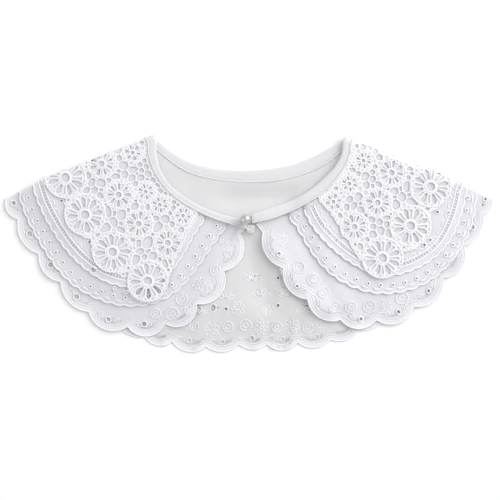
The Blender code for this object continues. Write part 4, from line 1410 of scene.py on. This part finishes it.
class Underneath:
    """A sheet under the back, whose right side is its lower one."""

    def __init__(self, level, hem_inset):
        self.level = level
        self.hem_inset = hem_inset

    def lay(self, flat):
        points, relief = flat[:, :2], flat[:, 2]
        rise = self.level * STEP * eased((inset(points) - self.hem_inset) / UNDER_RAMP) * pressed(points)
        return np.column_stack([points, UNDER_MIDDLE + rise - relief * 0.3])


def line_at_inset(distance):
    """The line inside the back's hem, found along rays from the neck."""
    hem_share = np.linspace(0.0, 1.0, 60)
    tops = at_lengths(back_seam, hem_share * lengths_along(back_seam)[-1])
    lows = at_lengths(BACK_LINE, hem_share * lengths_along(BACK_LINE)[-1])
    found = []
    for top, low in zip(tops, lows):
        tried = top + (low - top) * np.linspace(1.0, 0.0, 240)[:, None]
        deep = inset(tried) >= distance
        if deep.any():
            found.append(tried[int(np.argmax(deep))])
    return np.array(found)


stood_for = []
for under in UNDERS:
    line = line_at_inset(under.hem_inset + under.rise)
    hem = joined(scalloped([(x, y, under.rise) for x, y in spaced(line, under.pitch)], 1))
    seam = moved_in(back_seam, 0.5, -1)[2:-2]
    data = filled(under.name, np.vstack([hem, seam[::-1]]), [])
    surface = Underneath(under.level, under.hem_inset)
    cut_to_bend(data, surface)
    rests = [u.name for u in UNDERS if u.level == under.level - 1]
    stood_for.append(
        add_cloth(under.name, data, surface, under.material, CLOTH)
    )
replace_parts(stood_for[0], "back_tiers")

# %% [markdown]
# ## The neck binding
# A bias strip folded over all four seams makes a firm round rim. Its section is a flat oval that is
# carried along the neck and round the shoulder, and two rows of small stitches hold it.

# %% Binding with its stitches
BAND_AROUND = 22
BAND_SPACING = 2.0
BAND_ENDS = [(0.0, 0.72), (0.2, 0.88), (0.7, 0.97)]  # distance from an end, share of the section there
BAND_FULL = 1.5  # the section is whole from here on
BAND_SQUARE, BAND_FLAT = 0.45, 0.50  # powers that make its oval section square and flat


class BackBand:
    def lay(self, flat):
        return np.column_stack([flat[:, :2], flat[:, 2] + BAND_HEIGHT / 2])


def band_piece(name, seam, edge, surface, extra, height):
    """A strip between a seam and an edge; extra sections lead it round the fold."""
    total = lengths_along(seam)[-1]
    near, sizes = np.array(BAND_ENDS).T
    inner = np.linspace(BAND_FULL, total - BAND_FULL, max(4, round(total / BAND_SPACING)))
    where = np.concatenate([near, inner, total - near[::-1]])
    size = np.concatenate([sizes, np.ones(len(inner)), sizes[::-1]])
    if extra:
        where, size = where[: -len(near)], size[: -len(near)]
    share = where / total
    seams = at_lengths(seam, share * total)
    edges = at_lengths(edge, share * lengths_along(edge)[-1])
    if extra:
        past = surface.out * surface.reach * np.linspace(1 / extra, 1.0, extra)[:, None]
        seams, edges = np.vstack([seams, seams[-1] + past]), np.vstack([edges, edges[-1] + past])
        size = np.concatenate([size, np.ones(extra)])
    middle, half = (seams + edges) / 2, (seams - edges) / 2
    mesh = bmesh.new()
    bmesh.ops.create_grid(mesh, x_segments=len(middle) - 1, y_segments=BAND_AROUND, size=1.0)
    for vert in mesh.verts:
        i = round((vert.co.x + 1) / 2 * (len(middle) - 1))
        turn = TURN * (vert.co.y + 1) / 2
        across = np.sign(math.cos(turn)) * abs(math.cos(turn)) ** BAND_SQUARE
        up = np.sign(math.sin(turn)) * abs(math.sin(turn)) ** BAND_FLAT
        spot = middle[i] + half[i] * across * size[i]
        vert.co = (spot[0], spot[1], up * height / 2 * size[i])
    bmesh.ops.remove_doubles(mesh, verts=mesh.verts, dist=0.005)
    rims = [e for e in mesh.edges if e.is_boundary]
    bmesh.ops.holes_fill(mesh, edges=rims, sides=0)
    bmesh.ops.recalc_face_normals(mesh, faces=mesh.faces)
    data = bpy.data.meshes.new(name)
    mesh.to_mesh(data)
    mesh.free()
    lay_mesh(data, surface)
    print(f"{name}: {len(data.polygons)} faces")
    return add_piece(name, data, BINDING), middle, half


STITCH, STITCH_PITCH = 1.7, 2.6
STITCHED_AT, RIDGE_AT = 0.58, 0.86  # shares of the band's half width, on its seam's side


def band_top(share):
    """Height of the band's top over its middle line, a share of the half width out."""
    return BAND_HEIGHT / 2 * (1 - share ** (2 / BAND_SQUARE)) ** (BAND_FLAT / 2)


BUTTONHOLE_END = (2.8, 18.0), (1.6, 26.0)  # the right band runs on to the pearl
bands = [
    ("left", smooth_line(SEAMS["left"]), smooth_line(NECK_EDGES["left"])),
    (
        "right", smooth_line([BUTTONHOLE_END[0], *SEAMS["right"]]),
        smooth_line([BUTTONHOLE_END[1], *NECK_EDGES["right"]]),
    ),
    ("back", smooth_line(BACK_SEAM), smooth_line(BACK_NECK_EDGE)),
]
for where, seam, edge in bands:
    if where == "back":
        seam, edge = seam[2:-2], edge[2:-2]
        surface, extra = BackBand(), 0
    else:
        surface, extra = Front(where, BAND_MIDDLE - FOLD_MIDDLE), 8
    band, middle, half = band_piece("neck_binding_" + where, seam, edge, surface, extra, BAND_HEIGHT)
    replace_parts(band, "neck_band_" + where)
    work = Embroidery("neck_stitches_" + where, surface)
    ridge = middle + half * RIDGE_AT
    work.cord(ridge, 1.7, 1.6, lift=band_top(RIDGE_AT) - 0.55)
    row = middle + half * STITCHED_AT
    for spot, way in zip(spaced(row, STITCH_PITCH), np.gradient(spaced(row, STITCH_PITCH), axis=0)):
        way = way / np.linalg.norm(way) * STITCH / 2
        path = np.array([spot - way, spot, spot + way])
        work.cord(path, 0.45, 0.35, around=4, lift=band_top(STITCHED_AT) - 0.1)
    work.sew_on(SEWING)

# %% Tab under the closure
TAB_SEAM = [(-2.4, 9.9), (1.2, 8.9), (4.9, 8.8)]
TAB_EDGE = [(-1.8, 16.6), (2.0, 17.0), (5.8, 16.4)]
TAB_HEIGHT, TAB_LOWER = 2.4, 1.0
tab_surface = Front("left", BAND_MIDDLE - FOLD_MIDDLE - TAB_LOWER)
tab, _, _ = band_piece(
    "binding_tab", smooth_line(TAB_SEAM), smooth_line(TAB_EDGE), tab_surface, 0, TAB_HEIGHT
)

# %% [markdown]
# ## The closure
# A pearl button on a short shank sits on the end of the left binding. A loop of twisted ecru thread
# comes out of the right binding, goes round the shank and ends on the small tab below.

# %% Pearl, shank and loop
PEARL_RADIUS = 5.0
PEARL_SPOT = (-3.3, 21.4)
LOOP_RADIUS = 0.6
LOOP_ROUTE = [
    (2.6, 24.2), (0.2, 24.9), (-3.3, 25.2), (-6.0, 24.3), (-7.7, 22.4), (-8.3, 20.0), (-7.9, 17.6),
    (-6.0, 15.5), (-2.8, 13.7), (0.4, 12.3), (3.0, 11.3),
]
LOOP_DIP, DIP_FROM, DIP_RUN = 2.7, -2.4, 4.0  # its ends go down into the band and onto the tab
LOOP_HEIGHT = PLATEAU + BAND_MIDDLE + BAND_HEIGHT / 2 + 0.3 + LOOP_RADIUS
PEARL_HEIGHT = LOOP_HEIGHT + LOOP_RADIUS + 0.3 + 4.5
mesh = bmesh.new()
bmesh.ops.create_uvsphere(mesh, u_segments=48, v_segments=32, radius=PEARL_RADIUS)
bmesh.ops.translate(mesh, verts=mesh.verts, vec=(*PEARL_SPOT, PEARL_HEIGHT))
shank_depth = PEARL_HEIGHT - (LOOP_HEIGHT - LOOP_RADIUS)
shank = bmesh.ops.create_cone(
    mesh, cap_ends=True, segments=24, radius1=1.2, radius2=1.0, depth=shank_depth
)
bmesh.ops.translate(
    mesh, verts=shank["verts"], vec=(*PEARL_SPOT, PEARL_HEIGHT - shank_depth / 2)
)
bmesh.ops.scale(mesh, verts=mesh.verts, vec=(MM, MM, MM))
data = bpy.data.meshes.new("pearl")
mesh.to_mesh(data)
mesh.free()
data.shade_smooth()
pearl = add_piece("pearl", data, PEARL)
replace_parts(pearl, "pearl_button")


class Dipping:
    def lay(self, flat):
        drop = LOOP_DIP * eased((flat[:, 0] - DIP_FROM) / DIP_RUN)
        return np.column_stack([flat[:, :2], flat[:, 2] - drop])


loop = Embroidery("thread_loop", Dipping())
thick = 2 * LOOP_RADIUS
loop.cord(spaced(smooth_line(LOOP_ROUTE), 0.5), thick, thick, around=8, lift=LOOP_HEIGHT - LOOP_RADIUS)
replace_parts(loop.sew_on(LOOP_THREAD), "button_loop")

# %% [markdown]
# ## Floor
# Everything is in place, so the floor goes under it.

# %% Floor
mesh = bmesh.new()
bmesh.ops.create_grid(mesh, x_segments=1, y_segments=1, size=4.0)
data = bpy.data.meshes.new("floor")
mesh.to_mesh(data)
mesh.free()
data.materials.append(FLOOR)
floor = bpy.data.objects.new("floor", data)
bpy.context.scene.collection.objects.link(floor)
